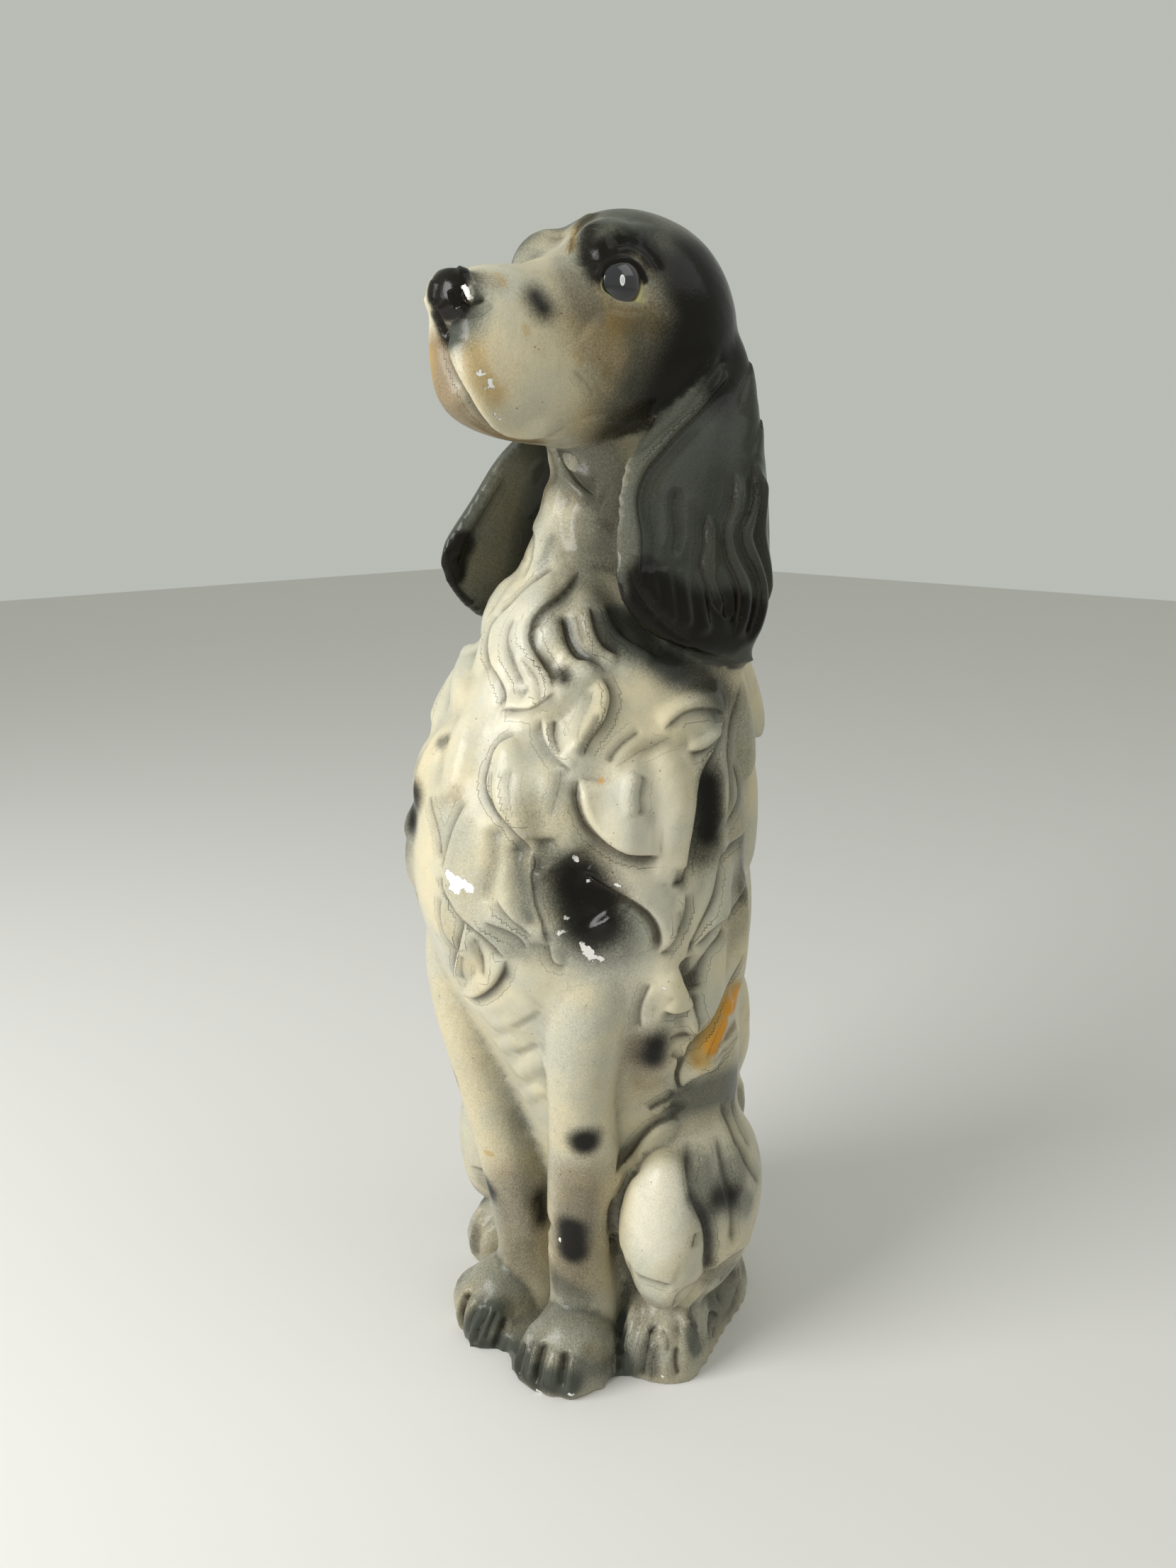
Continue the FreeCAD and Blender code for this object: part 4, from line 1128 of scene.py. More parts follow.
def profile(kind, height, width, s):
    """Height of a cut across its path, for signed distances to the right of it."""
    if kind in "RL":
        s = s if kind == "R" else -s
        above, below = np.maximum(s, 0), np.maximum(-s, 0)
        swell = height * (1 - np.exp(-above / EDGE_RISE)) * fade(above / width)
        spread = CREASE_SPREAD_SHARE * width + LOCK_MARGIN
        crease = np.where(s > 0, np.exp(-above / CREASE_WIDTH), fade(below / spread))
        return swell - CREASE_SHARE * height * crease
    if kind == "G":
        groove = GROOVE_LEAST + GROOVE_WIDTH_SHARE * width
        lips = GROOVE_LIP_SHARE * fade(np.abs(s) / (4 * groove))
        return height * (lips - GROOVE_DEPTH_SHARE * np.exp(-((s / groove) ** 2)))
    return (height if kind == "B" else -height) * fade(np.abs(s) / width)


def reach_of(kind, width):
    return 2 * width + GROOVE_MARGIN if kind == "G" else width + LOCK_MARGIN


def ends(along, taper=0.1):
    """Fades a cut out towards both ends of its path."""
    return np.clip(along / taper, 0, 1) ** END_POWER * np.clip((1 - along) / taper, 0, 1) ** END_POWER


def facing_path(normals, path_normals, along):
    """How much each vertex faces the same way as the path does there."""
    last = len(path_normals) - 1
    place = np.clip((along * last).round().astype(int), 0, last)
    return (normals * path_normals[place]).sum(1)


def on_body(tree, degrees, level):
    """The skin at a height and at degrees round the body, 90 being the middle of the back."""
    way = Vector((math.cos(math.radians(degrees)), math.sin(math.radians(degrees)), 0))
    hit, normal, _, _ = tree.ray_cast(Vector((MIDDLE_X, AXIS_Y, level)) + way * RAY_START, -way)
    return hit, normal


def guessed_locks(tree, seed):
    """Wavy locks down the back, in the style of the visible side: kind, height, width, points, normals."""
    rng = np.random.default_rng(seed)
    out = []
    for row, level in enumerate(LOCK_LEVELS):
        for base in NECK_DEGREES if level > NECK_LEVEL else BACK_DEGREES:
            angle = base + (row % 2) * ROW_SHIFT + rng.uniform(-LOCK_JITTER, LOCK_JITTER)
            length = rng.uniform(*LOCK_LENGTHS)
            swing = rng.uniform(*LOCK_SWINGS)
            drift = rng.uniform(-LOCK_DRIFT, LOCK_DRIFT)
            start = rng.uniform(*LOCK_STARTS)
            found = []
            for i in range(LOCK_STEPS + 1):
                t = i / LOCK_STEPS
                wave = math.sin(2 * math.pi * (t * LOCK_WAVES + start))
                found.append(on_body(tree, angle + swing * wave + drift * t, level - length * t))
            found = [pair for pair in found if pair[0] is not None]
            if len(found) > LOCK_LEAST_POINTS:
                points, normals = (np.array(part) for part in zip(*found))
                kind = "R" if angle < 90 else "L"
                out.append((kind, rng.uniform(*LOCK_HEIGHTS), rng.uniform(*LOCK_WIDTHS), points, normals))
    return out


def all_cuts(tree, seed):
    """Every cut on both sides of the dog: kind, height, width, points, normals."""
    cuts = []
    for kind, height, width, text in CUTS.values():
        points, normals = smooth_path(*cast(tree, read_points(text)))
        cuts.append((kind, height, width, points, normals))
        if points[:, 0].mean() > MIDDLE_X + MIRROR_CUTS_FROM:
            other, other_normals = mirrored_path(tree, points)
            if seen(tree, other) < CUT_SEEN_SHARE:
                turned = {"R": "L", "L": "R"}.get(kind, kind)
                cuts.append((turned, height, width, other, other_normals))
    return cuts + guessed_locks(tree, seed)


def eye_outlines(tree):
    """The eye opening on both sides: closed paths on the skin."""
    points, normals = cast(tree, read_points(EYE_OUTLINE + " " + EYE_OUTLINE.split()[0]))
    other, other_normals = mirrored_path(tree, points)
    return (points, normals), (other[::-1], other_normals[::-1])


def inside_loop(points, normals, probes):
    """Which probes lie inside a nearly flat closed path."""
    centre, normal = points.mean(0), normals.mean(0)
    normal /= np.linalg.norm(normal)
    u = np.cross(normal, [0, 0, 1.0])
    u /= np.linalg.norm(u)
    v = np.cross(normal, u)
    loop = np.stack([(points - centre) @ u, (points - centre) @ v], 1)
    flat = np.stack([(probes - centre) @ u, (probes - centre) @ v], 1)
    inside = np.zeros(len(probes), bool)
    for a, b in zip(loop, np.roll(loop, -1, axis=0)):
        crosses = (a[1] > flat[:, 1]) != (b[1] > flat[:, 1])
        x = a[0] + (flat[:, 1] - a[1]) * (b[0] - a[0]) / (b[1] - a[1] + 1e-12)
        inside ^= crosses & (flat[:, 0] < x)
    return inside


def carve(skin, sizes):
    """Moves the skin in or out along every cut, opens the eyes, and stores the lines for the paint."""
    mesh = skin.data
    verts, normals = mesh_arrays(mesh)
    tree = tree_of(mesh)
    height = np.zeros(len(verts))
    line = np.full(len(verts), FAR_EDGE)
    strength = np.zeros(len(verts))
    lids = np.zeros(len(verts))
    for kind, high, width, points, path_normals in all_cuts(tree, sizes.seed):
        width *= sizes.spread if kind in "RLBD" else 1
        index, side, along, away = near_path(verts, points, path_normals, reach_of(kind, width))
        if len(index) == 0:
            continue
        facing = facing_path(normals[index], path_normals, along)
        gate = np.clip((facing - FACING_LEAST) / FACING_FADE, 0, 1) * ends(along)
        height[index] += profile(kind, high * sizes.relief, width, side) * gate
        if kind in "RLG":
            nearer = away < np.abs(line[index])
            raised = {"R": side, "L": -side, "G": -away}[kind]
            line[index[nearer]] = raised[nearer]
            strength[index[nearer]] = (gate * np.clip(LINE_LEAST + high * LINE_PER_MM, 0, 1))[nearer]
    for points, path_normals in eye_outlines(tree):
        index, _, _, away = near_path(verts, points, path_normals, EYE_REACH)
        inside = inside_loop(points, path_normals, verts[index])
        upper = np.clip((verts[index, 2] - points[:, 2].mean()) / LID_FADE + LID_LEAST, 0, 1)
        signed = np.where(inside, -away, away)
        lid = (LID_LOWER + LID_UPPER * upper) * np.exp(-(((signed - LID_RIDGE) / LID_WIDTH) ** 2))
        pit = -PIT_DEPTH / (1 + np.exp(np.clip(signed + PIT_SHIFT, -STEEP, STEEP) / PIT_EDGE))
        height[index] += np.where(signed > -EYE_REACH, lid + pit, 0)
        rim = (1 - upper) / (1 + np.exp(np.clip(signed, -STEEP, STEEP) / RIM_EDGE))
        lids[index] = np.maximum(lids[index], rim)
        deep = np.linalg.norm(verts - points.mean(0), axis=1) < EYE_HEART
        deep &= inside_loop(points, path_normals, verts)
        deep[index] = False
        height[deep] = -PIT_DEPTH
    verts = verts + normals * height[:, None]
    verts = relax(verts, mesh_edges(mesh), 1, CARVED_SMOOTH, keep=CARVED_KEEP)
    verts[:, 2] = np.maximum(verts[:, 2], 0)
    write_verts(mesh, verts)
    store(mesh, "line", line)
    store(mesh, "line_depth", strength)
    store(mesh, "eye", lids)


def store(mesh, name, values):
    layer = mesh.attributes.get(name) or mesh.attributes.new(name, "FLOAT", "POINT")
    layer.data.foreach_set("value", np.ascontiguousarray(values, dtype=np.float32))


def load_values(mesh, name):
    values = np.empty(len(mesh.vertices), np.float32)
    mesh.attributes[name].data.foreach_get("value", values)
    return values


def node_mask(mesh, words, edges):
    """1 on the sections whose names hold one of the words, fading out over their joints."""
    labels = np.empty(len(mesh.polygons), int)
    mesh.polygons.foreach_get("material_index", labels)
    chosen = np.array([any(word in name for word in words) for name in NAMES])
    corner = np.empty(len(mesh.loops), int)
    mesh.loops.foreach_get("vertex_index", corner)
    sides = np.empty(len(mesh.polygons), int)
    mesh.polygons.foreach_get("loop_total", sides)
    mask = np.zeros((len(mesh.vertices), 1))
    mask[corner[np.repeat(chosen[labels], sides)]] = 1
    return blur(mask, edges, MASK_PASSES, BLUR_SHARE)[:, 0]


def hollows(verts, normals, edges, passes):
    """How far each vertex lies below its smoothed surroundings, in mm."""
    return ((blur(verts, edges, passes, BLUR_SHARE) - verts) * normals).sum(1)


def spray_amount(strength, radius, edge, away):
    """Paint at distances from a mark's path: full on its core, fading over its soft edge."""
    return strength * np.clip((radius + edge - away) / edge, 0, 1) ** FADE_POWER


def spray(skin, tree, softness):
    """Lays every airbrushed mark, painted highlights and shade among them, on the skin as one value for each
    vertex and colour.
    """
    mesh = skin.data
    verts, normals = mesh_arrays(mesh)
    edges = mesh_edges(mesh)
    kinds = {mark[4] for mark in (*SPRAYS.values(), *BACK_SPRAYS)}
    kinds |= {coat[2] for coat in COATS}
    masks = {nodes: node_mask(mesh, nodes.split(), edges) for nodes in sorted(kinds)}
    layers = {channel: np.zeros(len(verts)) for channel in CHANNELS}
    for channel, strength, nodes in COATS:
        layers[channel] += strength * masks[nodes]
    for channel, strength, radius, edge, nodes, text in SPRAYS.values():
        edge *= softness
        points, path_normals = cast(tree, read_points(text))
        paths = [(points, path_normals)]
        if channel != "orange" and abs(points[:, 0].mean() - MIDDLE_X) > MIRROR_MARKS_FROM:
            other = mirrored_path(tree, points)
            if seen(tree, other[0]) < MARK_SEEN_SHARE:
                paths.append(other)
        for where, at in paths:
            index, _, along, away = near_path(verts, where, at, radius + edge)
            facing = facing_path(normals[index], at, along)
            amount = spray_amount(strength, radius, edge, away)
            amount *= masks[nodes][index] * np.clip((facing + MARK_TURN) / FACING_FADE, 0, 1)
            before = layers[channel][index]
            both = np.maximum(before, amount) + BOTH_SHARE * np.minimum(before, amount)
            layers[channel][index] = both if strength > 0 else np.maximum(before + amount, 0)
    for channel, strength, radius, edge, nodes, text in BACK_SPRAYS:
        where = np.array([on_body(tree, *pair)[0] for pair in read_points(text)])
        at = np.tile([0.0, 1.0, 0.0], (len(where), 1))
        index, _, _, away = near_path(verts, where, at, radius + edge)
        amount = spray_amount(strength, radius, edge, away) * masks[nodes][index]
        layers[channel][index] = np.maximum(layers[channel][index], amount)
    low, high = (np.array(c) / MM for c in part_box("head_shell"))
    depth_share = (verts[:, 1] - low[1]) / (high[1] - low[1])
    behind = np.clip((depth_share - BEHIND_FROM_SHARE) / BEHIND_FADE_SHARE, 0, 1)
    layers["black"] = np.maximum(layers["black"], COAT_BEHIND * behind * masks[HEAD])
    for channel, values in layers.items():
        store(mesh, channel, values)
    store(mesh, "chip", chip_edges(verts, tree))
    # Depths of the hollows and valleys, which the paint turns into dirt, mist and painted shade
    store(mesh, "hollow", hollows(verts, normals, edges, HOLLOW_PASSES))
    store(mesh, "valley", hollows(verts, normals, edges, VALLEY_PASSES))


def chip_edges(verts, tree):
    """Distance to the nearest chip's edge in mm, below nothing inside it."""
    chip = np.full(len(verts), FAR_EDGE)
    for radius, text in CHIPS.values():
        points, path_normals = cast(tree, read_points(text))
        index, _, _, away = near_path(verts, points, path_normals, radius + FAR_EDGE)
        chip[index] = np.minimum(chip[index], away - radius)
    return chip


# Paint


class Nodes:
    """Short ways to add nodes to one tree."""

    def __init__(self, tree):
        self.tree = tree
        self.at = 0

    def add(self, kind, inputs=(), **settings):
        node = self.tree.nodes.new(kind)
        self.at += 1
        node.location = (200 * (self.at // 8), -180 * (self.at % 8))
        for key, value in settings.items():
            setattr(node, key, value)
        for key, value in dict(inputs).items():
            socket = node.inputs[key]
            if isinstance(value, bpy.types.NodeSocket):
                self.tree.links.new(value, socket)
            else:
                socket.default_value = value
        return node

    def math(self, operation, *values, clamp=False):
        return self.add("ShaderNodeMath", enumerate(values), operation=operation, use_clamp=clamp).outputs[0]

    def plus(self, a, b, clamp=False):
        return self.math("ADD", a, b, clamp=clamp)

    def minus(self, a, b):
        return self.math("SUBTRACT", a, b)

    def times(self, a, b, clamp=False):
        return self.math("MULTIPLY", a, b, clamp=clamp)

    def swing(self, noise, amount):
        """A noise that swings round nothing, by half the amount to either side."""
        return self.times(self.minus(noise, 0.5), amount)

    def ramp(self, value, low, high, out_low=0.0, out_high=1.0):
        inputs = {0: value, 1: low, 2: high, 3: out_low, 4: out_high}
        return self.add("ShaderNodeMapRange", inputs, interpolation_type="SMOOTHSTEP").outputs[0]

    def even(self, cover):
        """A cover of sprayed paint that fades evenly to the eye."""
        return self.minus(1.0, self.math("POWER", self.minus(1.0, cover), 2.0))

    def mix(self, factor, a, b, blend="MIX"):
        node = self.add("ShaderNodeMix", data_type="RGBA", blend_type=blend)
        for key, value in (("Factor_Float", factor), ("A_Color", a), ("B_Color", b)):
            socket = next(s for s in node.inputs if s.identifier == key)
            if isinstance(value, bpy.types.NodeSocket):
                self.tree.links.new(value, socket)
            elif key == "Factor_Float":
                socket.default_value = value
            else:
                socket.default_value = (*value, 1) if len(value) == 3 else value
        return next(s for s in node.outputs if s.identifier == "Result_Color")

    def noise(self, vector, scale, detail=2.0, roughness=0.5):
        inputs = {"Vector": vector, "Scale": scale, "Detail": detail, "Roughness": roughness}
        return self.add("ShaderNodeTexNoise", inputs).outputs["Fac"]

    def attribute(self, name):
        return self.add("ShaderNodeAttribute", attribute_name=name, attribute_type="GEOMETRY").outputs

    def value_of(self, name):
        return self.attribute(name)["Fac"]

    def surface(self, inputs):
        """A principled shader and the output that it goes to."""
        shader = self.add("ShaderNodeBsdfPrincipled", inputs)
        self.add("ShaderNodeOutputMaterial", {"Surface": shader.outputs["BSDF"]})


def new_material(name):
    material = bpy.data.materials.new(name)
    material.use_nodes = True
    material.node_tree.nodes.clear()
    return material, Nodes(material.node_tree)


def paint_group(colours):
    """The worn paint of the casting, with painted highlights and painted shade: colour, gloss and relief from
    the sprayed values.
    """
    group = bpy.data.node_groups.new("Chalkware paint", "ShaderNodeTree")
    for name, kind in (
        ("Color", "NodeSocketColor"),
        ("Roughness", "NodeSocketFloat"),
        ("Coat", "NodeSocketFloat"),
        ("Height", "NodeSocketFloat"),
    ):
        group.interface.new_socket(name, in_out="OUTPUT", socket_type=kind)
    n = Nodes(group)
    place = n.add("ShaderNodeTexCoord").outputs["Object"]
    fine = n.noise(place, 1500, 2)
    grain = n.noise(place, 620, 3, 0.6)
    blotch = n.noise(place, 150, 4, 0.6)
    broad = n.noise(place, 34, 3, 0.55)
    hollow = n.value_of("hollow")
    valley = n.value_of("valley")
    line = n.value_of("line")
    depth = n.value_of("line_depth")
    chip = n.value_of("chip")

    warm = tuple(c * f for c, f in zip(colours.cream, (1.04, 0.98, 0.88)))
    cool = tuple(c * f for c, f in zip(colours.cream, (0.92, 0.95, 1.0)))
    base = n.mix(n.ramp(broad, 0.35, 0.65), warm, cool)
    base = n.mix(n.ramp(blotch, 0.58, 0.85, 0, 0.14), base, colours.ochre[:])
    # Painted highlights: the white marks mixed in as a cream white
    base = n.mix(n.times(n.value_of("white"), 0.55, clamp=True), base, PAINTED_HIGHLIGHT)
    # Airbrushed mist and painted shade, darker the deeper the valley
    mist_and_shade = n.plus(n.ramp(valley, -0.12, 1.3, 0, 0.8), n.times(n.ramp(broad, 0.3, 0.7), 0.12))
    mist_and_shade = n.times(mist_and_shade, n.ramp(fine, 0.25, 0.7, 0.75, 1.15), clamp=True)
    base = n.mix(mist_and_shade, base, colours.mist_and_shade[:])
    # Painted shade on the low side of each carved crease
    low = n.times(n.ramp(line, -4.5, -0.2), n.ramp(line, 0.0, 0.9, 1, 0))
    low = n.times(low, n.times(depth, 0.62), clamp=True)
    base = n.mix(low, base, colours.mist_and_shade[:])
    # Dirt and painted shade, darker in the small hollows
    dirt_and_shade = n.plus(n.ramp(hollow, 0.03, 0.5, 0, 0.7), n.ramp(blotch, 0.45, 0.8, 0, 0.12))
    dirt_and_shade = n.times(dirt_and_shade, n.ramp(grain, 0.2, 0.7, 0.7, 1.2), clamp=True)
    base = n.mix(dirt_and_shade, base, colours.shade[:])
    for channel, tint in (
        ("tan", colours.tan),
        ("ochre", colours.ochre),
        ("orange", colours.orange),
        ("grey", colours.grey),
    ):
        amount = n.plus(n.value_of(channel), n.swing(fine, 0.3))
        cover = n.even(n.ramp(amount, 0.08, 1.0, 0, 0.92))
        base = n.mix(cover, base, tint[:])
    black = n.plus(n.value_of("black"), n.swing(fine, 0.26))
    black = n.even(n.ramp(black, 0.06, 1.15, 0, 0.96))
    base = n.mix(black, base, colours.black[:])
    specks = n.add("ShaderNodeTexVoronoi", {"Vector": place, "Scale": 330.0, "Randomness": 1.0})
    speck = n.times(n.ramp(specks.outputs["Distance"], 0.05, 0.13, 1, 0), n.ramp(blotch, 0.5, 0.62))
    base = n.mix(n.times(speck, 0.65), base, SPECK_BROWN)
    wander = n.swing(blotch, 0.6)
    cut = n.ramp(n.plus(n.math("ABSOLUTE", line), wander), 0.05, 0.7, 1, 0)
    cut = n.times(cut, depth)
    base = n.mix(n.times(cut, 0.5), base, CREASE_BROWN)
    base = n.mix(n.value_of("eye"), base, colours.eye_white[:])
    edge = n.plus(chip, n.swing(grain, 3.4))
    bare = n.ramp(edge, -0.12, 0.12, 1, 0)
    base = n.mix(bare, base, colours.plaster[:])

    rough = n.plus(0.30, n.swing(blotch, 0.25))
    rough = n.minus(rough, n.times(black, 0.12))
    rough = n.plus(rough, n.times(dirt_and_shade, 0.25))
    rough = n.plus(rough, n.times(bare, 0.5), clamp=True)
    coat = n.times(n.minus(1.0, bare), 0.14)
    relief = n.swing(fine, 0.05)
    relief = n.plus(relief, n.times(grain, 0.06))
    relief = n.plus(relief, n.times(blotch, 0.16))
    relief = n.minus(relief, n.times(cut, 0.35))
    relief = n.minus(relief, n.times(bare, 0.25))
    relief = n.minus(relief, n.times(speck, 0.12))
    n.add("NodeGroupOutput", {"Color": base, "Roughness": rough, "Coat": coat, "Height": relief})
    return group


def paint_material(name, group):
    material, n = new_material(name)
    shared = n.add("ShaderNodeGroup", node_tree=group)
    bump = n.add("ShaderNodeBump", {"Height": shared.outputs["Height"], "Strength": 1.0, "Distance": MM})
    n.surface(
        {
            "Base Color": shared.outputs["Color"],
            "Roughness": shared.outputs["Roughness"],
            "Coat Weight": shared.outputs["Coat"],
            "Coat Roughness": 0.16,
            "Specular IOR Level": 0.14,
            "Normal": bump.outputs["Normal"],
        }
    )
    return material


def eye_material(colours):
    """Iris, highlight and white, drawn round the gaze that is stored on the eyeball in mm."""
    material, n = new_material("eye_paint")
    x, y, size = n.add("ShaderNodeSeparateXYZ", {0: n.attribute("gaze")["Vector"]}).outputs
    grain = n.noise(n.add("ShaderNodeTexCoord").outputs["Object"], 700, 3)
    radius = n.math("SQRT", n.plus(n.math("POWER", x, 2), n.math("POWER", y, 2)))
    ratio = n.plus(n.math("DIVIDE", radius, size), n.swing(grain, 0.05))
    white = n.mix(n.ramp(grain, 0.4, 0.8), colours.eye_white[:], EYE_YELLOW)
    white = n.mix(n.ramp(y, 0.0, 1.8), white, LID_SHADE)
    iris = n.mix(n.ramp(ratio, 0.84, 0.97), IRIS_DARK, IRIS_BROWN)
    iris = n.mix(n.ramp(ratio, 0.95, 1.0), iris, IRIS_LINE)
    paint = n.mix(n.ramp(ratio, 1.0, 1.06), iris, white)
    wide = n.math("POWER", n.math("DIVIDE", x, 0.85), 2)
    tall = n.math("POWER", n.math("DIVIDE", n.plus(y, 0.25), 1.65), 2)
    spark = n.plus(wide, tall)
    paint = n.mix(n.ramp(spark, 0.85, 1.1, 1, 0), paint, SPARK_EDGE)
    paint = n.mix(n.times(n.ramp(spark, 0.25, 0.5, 1, 0), 0.5), paint, SPARK_HEART)
    bump = n.add("ShaderNodeBump", {"Height": grain, "Strength": 0.15, "Distance": 0.0002})
    n.surface(
        {
            "Base Color": paint,
            "Roughness": 0.16,
            "Coat Weight": 0.8,
            "Coat Roughness": 0.05,
            "Normal": bump.outputs[0],
        }
    )
    return material


# Splitting the skin into sections


def keep_inside(tree, point, inset):
    """The point, or a place near it that lies under the skin, as deep as the form there allows."""
    point = Vector(point)
    for reach in (inset, inset / 2, inset / 4):
        hit, normal, _, _ = tree.find_nearest(point)
        if (point - hit).dot(normal) < -reach:
            break
        point = hit - normal * reach
    return np.array(point)


def rim_loops(faces):
    """The borders of a set of faces, each a closed loop of vertices."""
    rims = {}
    for face in faces:
        for a, b in zip(face, face[1:] + face[:1]):
            if (b, a) in rims:
                del rims[(b, a)]
            else:
                rims[(a, b)] = True
    following = {a: b for a, b in rims}
    loops = []
    while following:
        start, current = next(iter(following.items()))
        loop = [start]
        del following[start]
        while current != start:
            loop.append(current)
            current = following.pop(current)
        loops.append(loop)
    return loops


def cap_points(tree, rim, inward, apex):
    """The points of a cap: rings that sink under the skin, rings that close in on the apex, and the apex."""
    points = []
    for step in range(1, CAP_RINGS):
        sink = min(step, CAP_SINK_RINGS)
        share = max(step - CAP_SINK_RINGS, 0) / (CAP_RINGS - CAP_SINK_RINGS)
        for place, way in zip(rim, inward):
            sunk = place - sink * CAP_INSET * way
            points.append(keep_inside(tree, sunk + share * (apex - sunk), CAP_INSET * sink / CAP_SINK_RINGS))
    points.append(keep_inside(tree, apex, CAP_INSET))
    return points


def cap_faces(rim, first):
    """The faces of a cap on a rim of vertices, the cap's own points starting at the index first."""
    size = len(rim)
    faces = []
    before = rim
    for start in range(first, first + (CAP_RINGS - 1) * size, size):
        now = list(range(start, start + size))
        for i in range(size):
            j = (i + 1) % size
            faces.append((before[j], before[i], now[i], now[j]))
        before = now
    apex = first + (CAP_RINGS - 1) * size
    return faces + [(before[(i + 1) % size], before[i], apex) for i in range(size)]


def split_sections(skin, materials):
    """Cuts the skin into one closed piece for each section, with the skin's own normals kept."""
    mesh = skin.data
    tree = tree_of(mesh)
    verts, normals = mesh_arrays(mesh)
    names = ("line", "line_depth", "chip", "hollow", "valley", "eye") + CHANNELS
    values = {name: load_values(mesh, name) for name in names}
    faces = [tuple(p.vertices) for p in mesh.polygons]
    labels = np.empty(len(faces), int)
    mesh.polygons.foreach_get("material_index", labels)
    pieces = []
    for kind, name in enumerate(NAMES):
        mine = [faces[i] for i in np.where(labels == kind)[0]]
        source = np.unique(np.concatenate([np.array(f) for f in mine])).tolist()
        remap = {v: i for i, v in enumerate(source)}
        points = [verts[v] for v in source]
        out = [tuple(remap[v] for v in face) for face in mine]
        for loop in rim_loops(mine):
            apex = verts[loop].mean(0)
            if name == "base_slab" and len(loop) > HOLE_RIM_LEAST:
                apex = np.array([MIDDLE_X, HOLE_INSIDE_Y, HOLE_APEX_LEVEL])
            inward = normals[loop]
            for _ in range(CAP_SMOOTH):
                inward = (np.roll(inward, 1, axis=0) + 2 * inward + np.roll(inward, -1, axis=0)) / 4
            out += cap_faces([remap[v] for v in loop], len(points))
            points += cap_points(tree, verts[loop], inward, apex)
            source += loop * (CAP_RINGS - 1) + loop[:1]
        piece_mesh = bpy.data.meshes.new(name + "_shown")
        piece_mesh.from_pydata([tuple(p * MM) for p in points], [], out)
        for key, data in values.items():
            store(piece_mesh, key, data[source])
        piece_mesh.shade_smooth()
        piece_mesh.update()
        corner = np.empty(len(piece_mesh.loops), int)
        piece_mesh.loops.foreach_get("vertex_index", corner)
        custom = normals[source][corner]
        for polygon in piece_mesh.polygons[len(mine) :]:
            custom[polygon.loop_start : polygon.loop_start + polygon.loop_total] = polygon.normal
        piece_mesh.normals_split_custom_set([tuple(v) for v in custom])
        piece = bpy.data.objects.new(name + "_shown", piece_mesh)
        bpy.context.collection.objects.link(piece)
        piece_mesh.materials.append(materials[SECTIONS[name]])
        pieces.append((name, piece))
    return pieces


# Operators, panel and registration


class CHALK_OT_casting(bpy.types.Operator):
    """Fuses the plain sections into one skin with rounded joints"""

    bl_idname = "chalk.casting"
    bl_label = "Casting"

    def execute(self, context):
        sizes = context.scene.chalk_sizes
        skin = fuse(sizes)
        mesh = skin.data
        labels, gap = label_faces(mesh)
        mesh.polygons.foreach_set("material_index", labels)
        edges = mesh_edges(mesh)
        verts, _ = mesh_arrays(mesh)
        floor = verts[:, 2] < FLOOR_TOUCH
        soft = blur(np.clip(1 - gap / JOINT_WIDTH, 0, 1)[:, None], edges, JOINT_BLUR, SMOOTH_STEP)
        verts = relax(verts, edges, SKIN_PASSES, 1.0)
        verts = relax(verts, edges, BODY_PASSES, node_mask(mesh, ["torso", "haunch"], edges)[:, None])
        verts = relax(verts, edges, sizes.soften, soft, keep=JOINT_KEEP)
        verts[floor, 2] = 0
        write_verts(mesh, verts)
        modifier = skin.modifiers.new("finer", "SUBSURF")
        modifier.levels = modifier.render_levels = 1
        make_active(skin)
        bpy.ops.object.modifier_apply(modifier=modifier.name)
        return {"FINISHED"}


class CHALK_OT_carving(bpy.types.Operator):
    """Carves the fur, face and toes into the skin, opens the eyes, and sprays the marks"""

    bl_idname = "chalk.carving"
    bl_label = "Carving and marks"

    def execute(self, context):
        sizes = context.scene.chalk_sizes
        skin = bpy.data.objects["skin"]
        refine_face(skin)
        smooth_tree = tree_of(skin.data)
        carve(skin, sizes)
        spray(skin, tree_of(skin.data), sizes.softness)
        iris = cast(smooth_tree, read_points(IRIS))[0][0]
        edge = cast(smooth_tree, read_points(IRIS_EDGE))[0][0]
        skin["iris"] = [float(v) for v in iris]
        skin["iris_size"] = float(np.linalg.norm(edge - iris))
        return {"FINISHED"}


def refine_face(skin):
    """Halves the mesh round the eyes and the nose."""
    tree = tree_of(skin.data)
    verts, _ = mesh_arrays(skin.data)
    eye, nose = (cast(tree, read_points(text))[0][0] for text in (EYE_MIDDLE, NOSE_MIDDLE))
    other_eye = np.array([2 * MIDDLE_X - eye[0], eye[1], eye[2]])
    wanted = np.zeros(len(verts), bool)
    for mark, reach in ((eye, FINE_EYE), (nose, FINE_NOSE), (other_eye, FINE_EYE)):
        wanted |= np.linalg.norm(verts - mark, axis=1) < reach
    edit_verts(skin, wanted)
    bpy.ops.mesh.select_mode(type="FACE")
    bpy.ops.mesh.subdivide(number_cuts=1, smoothness=0.0)
    bpy.ops.object.mode_set(mode="OBJECT")


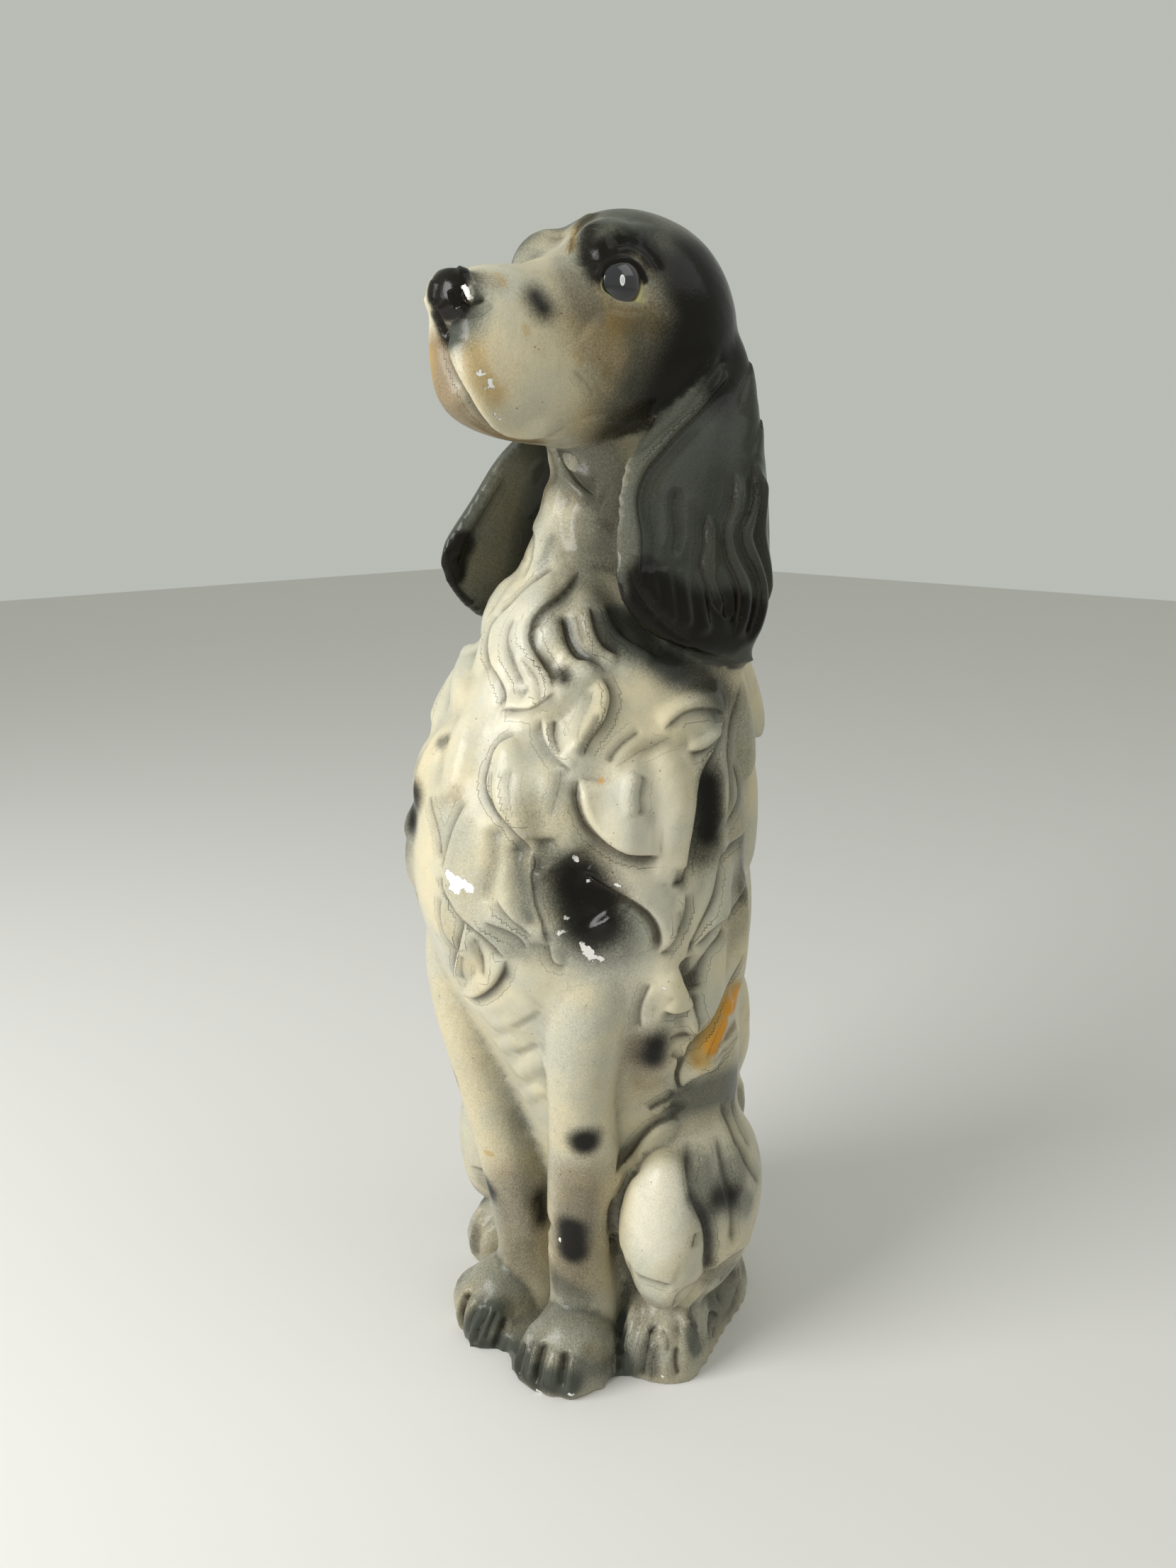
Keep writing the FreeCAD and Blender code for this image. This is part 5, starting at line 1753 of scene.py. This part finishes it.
class CHALK_OT_sections(bpy.types.Operator):
    """Splits the painted skin into the casting's sections"""

    bl_idname = "chalk.sections"
    bl_label = "Sections"

    def execute(self, context):
        skin = bpy.data.objects["skin"]
        group = paint_group(context.scene.chalk_colours)
        slots = sorted(set(SECTIONS.values()))
        materials = {slot: paint_material(slot, group) for slot in slots}
        for name, piece in split_sections(skin, materials):
            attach(piece, "root")
            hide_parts(name)
        context.scene["iris"] = skin["iris"]
        context.scene["iris_size"] = skin["iris_size"]
        bpy.data.objects.remove(skin)
        return {"FINISHED"}


class CHALK_OT_eyes(bpy.types.Operator):
    """Models the two painted eyeballs"""

    bl_idname = "chalk.eyes"
    bl_label = "Eyes"

    def execute(self, context):
        material = eye_material(context.scene.chalk_colours)
        iris = np.array(context.scene["iris"])
        size = context.scene["iris_size"]
        for name, side in (("left_eye", 1), ("right_eye", -1)):
            low, high = (np.array(c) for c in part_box(name))
            centre = (low + high) / 2
            deselect()
            bpy.ops.mesh.primitive_uv_sphere_add(segments=72, ring_count=48, radius=1, location=(0, 0, 0))
            ball = context.object
            ball.name = name + "_shown"
            turn = Matrix.Rotation(math.radians(-BALL_TURN * side), 4, "Z")
            shape = Matrix.Diagonal((*BALL_HALF, 1))
            ball.data.transform(Matrix.Translation(Vector(centre)) @ turn @ shape)
            verts, _ = mesh_arrays(ball.data)
            middle = iris.copy()
            if side < 0:
                middle[0] = 2 * MIDDLE_X - middle[0]
            out = middle - centre / MM
            out /= np.linalg.norm(out)
            across = np.cross([0, 0, 1.0], out)
            across /= np.linalg.norm(across)
            up = np.cross(out, across)
            local = verts - middle
            facing = (verts - centre / MM) @ out > 0
            gaze = np.stack([local @ across, local @ up, np.full(len(verts), size)], 1)
            gaze[~facing, 0] = LOOKING_AWAY
            layer = ball.data.attributes.new("gaze", "FLOAT_VECTOR", "POINT")
            layer.data.foreach_set("vector", gaze.astype(np.float32).ravel())
            bpy.ops.object.shade_smooth()
            ball.data.materials.append(material)
            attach(ball, "root")
            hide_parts(name)
        return {"FINISHED"}


class CHALK_OT_stage(bpy.types.Operator):
    """Adds the pale floor, the soft lights and the photograph's camera"""

    bl_idname = "chalk.stage"
    bl_label = "Stage"

    def execute(self, context):
        deselect()
        bpy.ops.mesh.primitive_plane_add(size=FLOOR_SIZE, location=(0, 0, 0))
        floor = context.object
        floor.name = "floor"
        material = bpy.data.materials.new("floor")
        material.use_nodes = True
        shader = material.node_tree.nodes["Principled BSDF"]
        shader.inputs["Base Color"].default_value = FLOOR_COLOUR
        shader.inputs["Roughness"].default_value = FLOOR_ROUGHNESS
        floor.data.materials.append(material)
        world = bpy.data.worlds.new("room")
        context.scene.world = world
        world.use_nodes = True
        background = world.node_tree.nodes["Background"]
        background.inputs["Color"].default_value = ROOM_COLOUR
        background.inputs["Strength"].default_value = ROOM_STRENGTH
        right, up, forward = camera_axes()
        target = Vector(STAGE_TARGET)
        for name, (x, y, z), distance, size, power in LIGHTS:
            way = forward * z + right * x + up * y
            light = bpy.data.lights.new(name, "AREA")
            light.size = size
            light.energy = power
            lamp = bpy.data.objects.new(name, light)
            context.collection.objects.link(lamp)
            lamp.location = target + way.normalized() * distance
            lamp.rotation_euler = (target - lamp.location).to_track_quat("-Z", "Y").to_euler()
        camera = bpy.data.cameras.new("camera")
        camera.sensor_fit = "VERTICAL"
        camera.sensor_height = SENSOR
        camera.lens = SENSOR * FOCAL_PX / PHOTO_HEIGHT
        eye = bpy.data.objects.new("camera", camera)
        context.collection.objects.link(eye)
        eye.location = CAMERA_PLACE
        eye.rotation_euler = forward.to_track_quat("-Z", "Y").to_euler()
        context.scene.camera = eye
        context.scene.view_settings.view_transform = "Standard"
        return {"FINISHED"}


class CHALK_PT_panel(bpy.types.Panel):
    """Buttons for the chalkware spaniel"""

    bl_idname = "CHALK_PT_panel"
    bl_label = "Chalkware Spaniel"
    bl_space_type = "VIEW_3D"
    bl_region_type = "UI"
    bl_category = "Chalkware"

    def draw(self, context):
        layout = self.layout
        for group in (context.scene.chalk_sizes, context.scene.chalk_colours):
            for key in group.bl_rna.properties.keys():
                if key not in ("rna_type", "name"):
                    layout.prop(group, key)
        for operator in OPERATORS:
            layout.operator(operator.bl_idname)


OPERATORS = (CHALK_OT_casting, CHALK_OT_carving, CHALK_OT_sections, CHALK_OT_eyes, CHALK_OT_stage)
CLASSES = (ChalkSizes, ChalkColours) + OPERATORS + (CHALK_PT_panel,)


def register():
    for cls in CLASSES:
        bpy.utils.register_class(cls)
    bpy.types.Scene.chalk_sizes = bpy.props.PointerProperty(type=ChalkSizes)
    bpy.types.Scene.chalk_colours = bpy.props.PointerProperty(type=ChalkColours)


def unregister():
    del bpy.types.Scene.chalk_colours
    del bpy.types.Scene.chalk_sizes
    for cls in reversed(CLASSES):
        bpy.utils.unregister_class(cls)


def main():
    register()
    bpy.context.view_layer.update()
    bpy.ops.chalk.casting()
    bpy.ops.chalk.carving()
    bpy.ops.chalk.sections()
    bpy.ops.chalk.eyes()
    bpy.ops.chalk.stage()


if __name__ == "__main__":
    main()
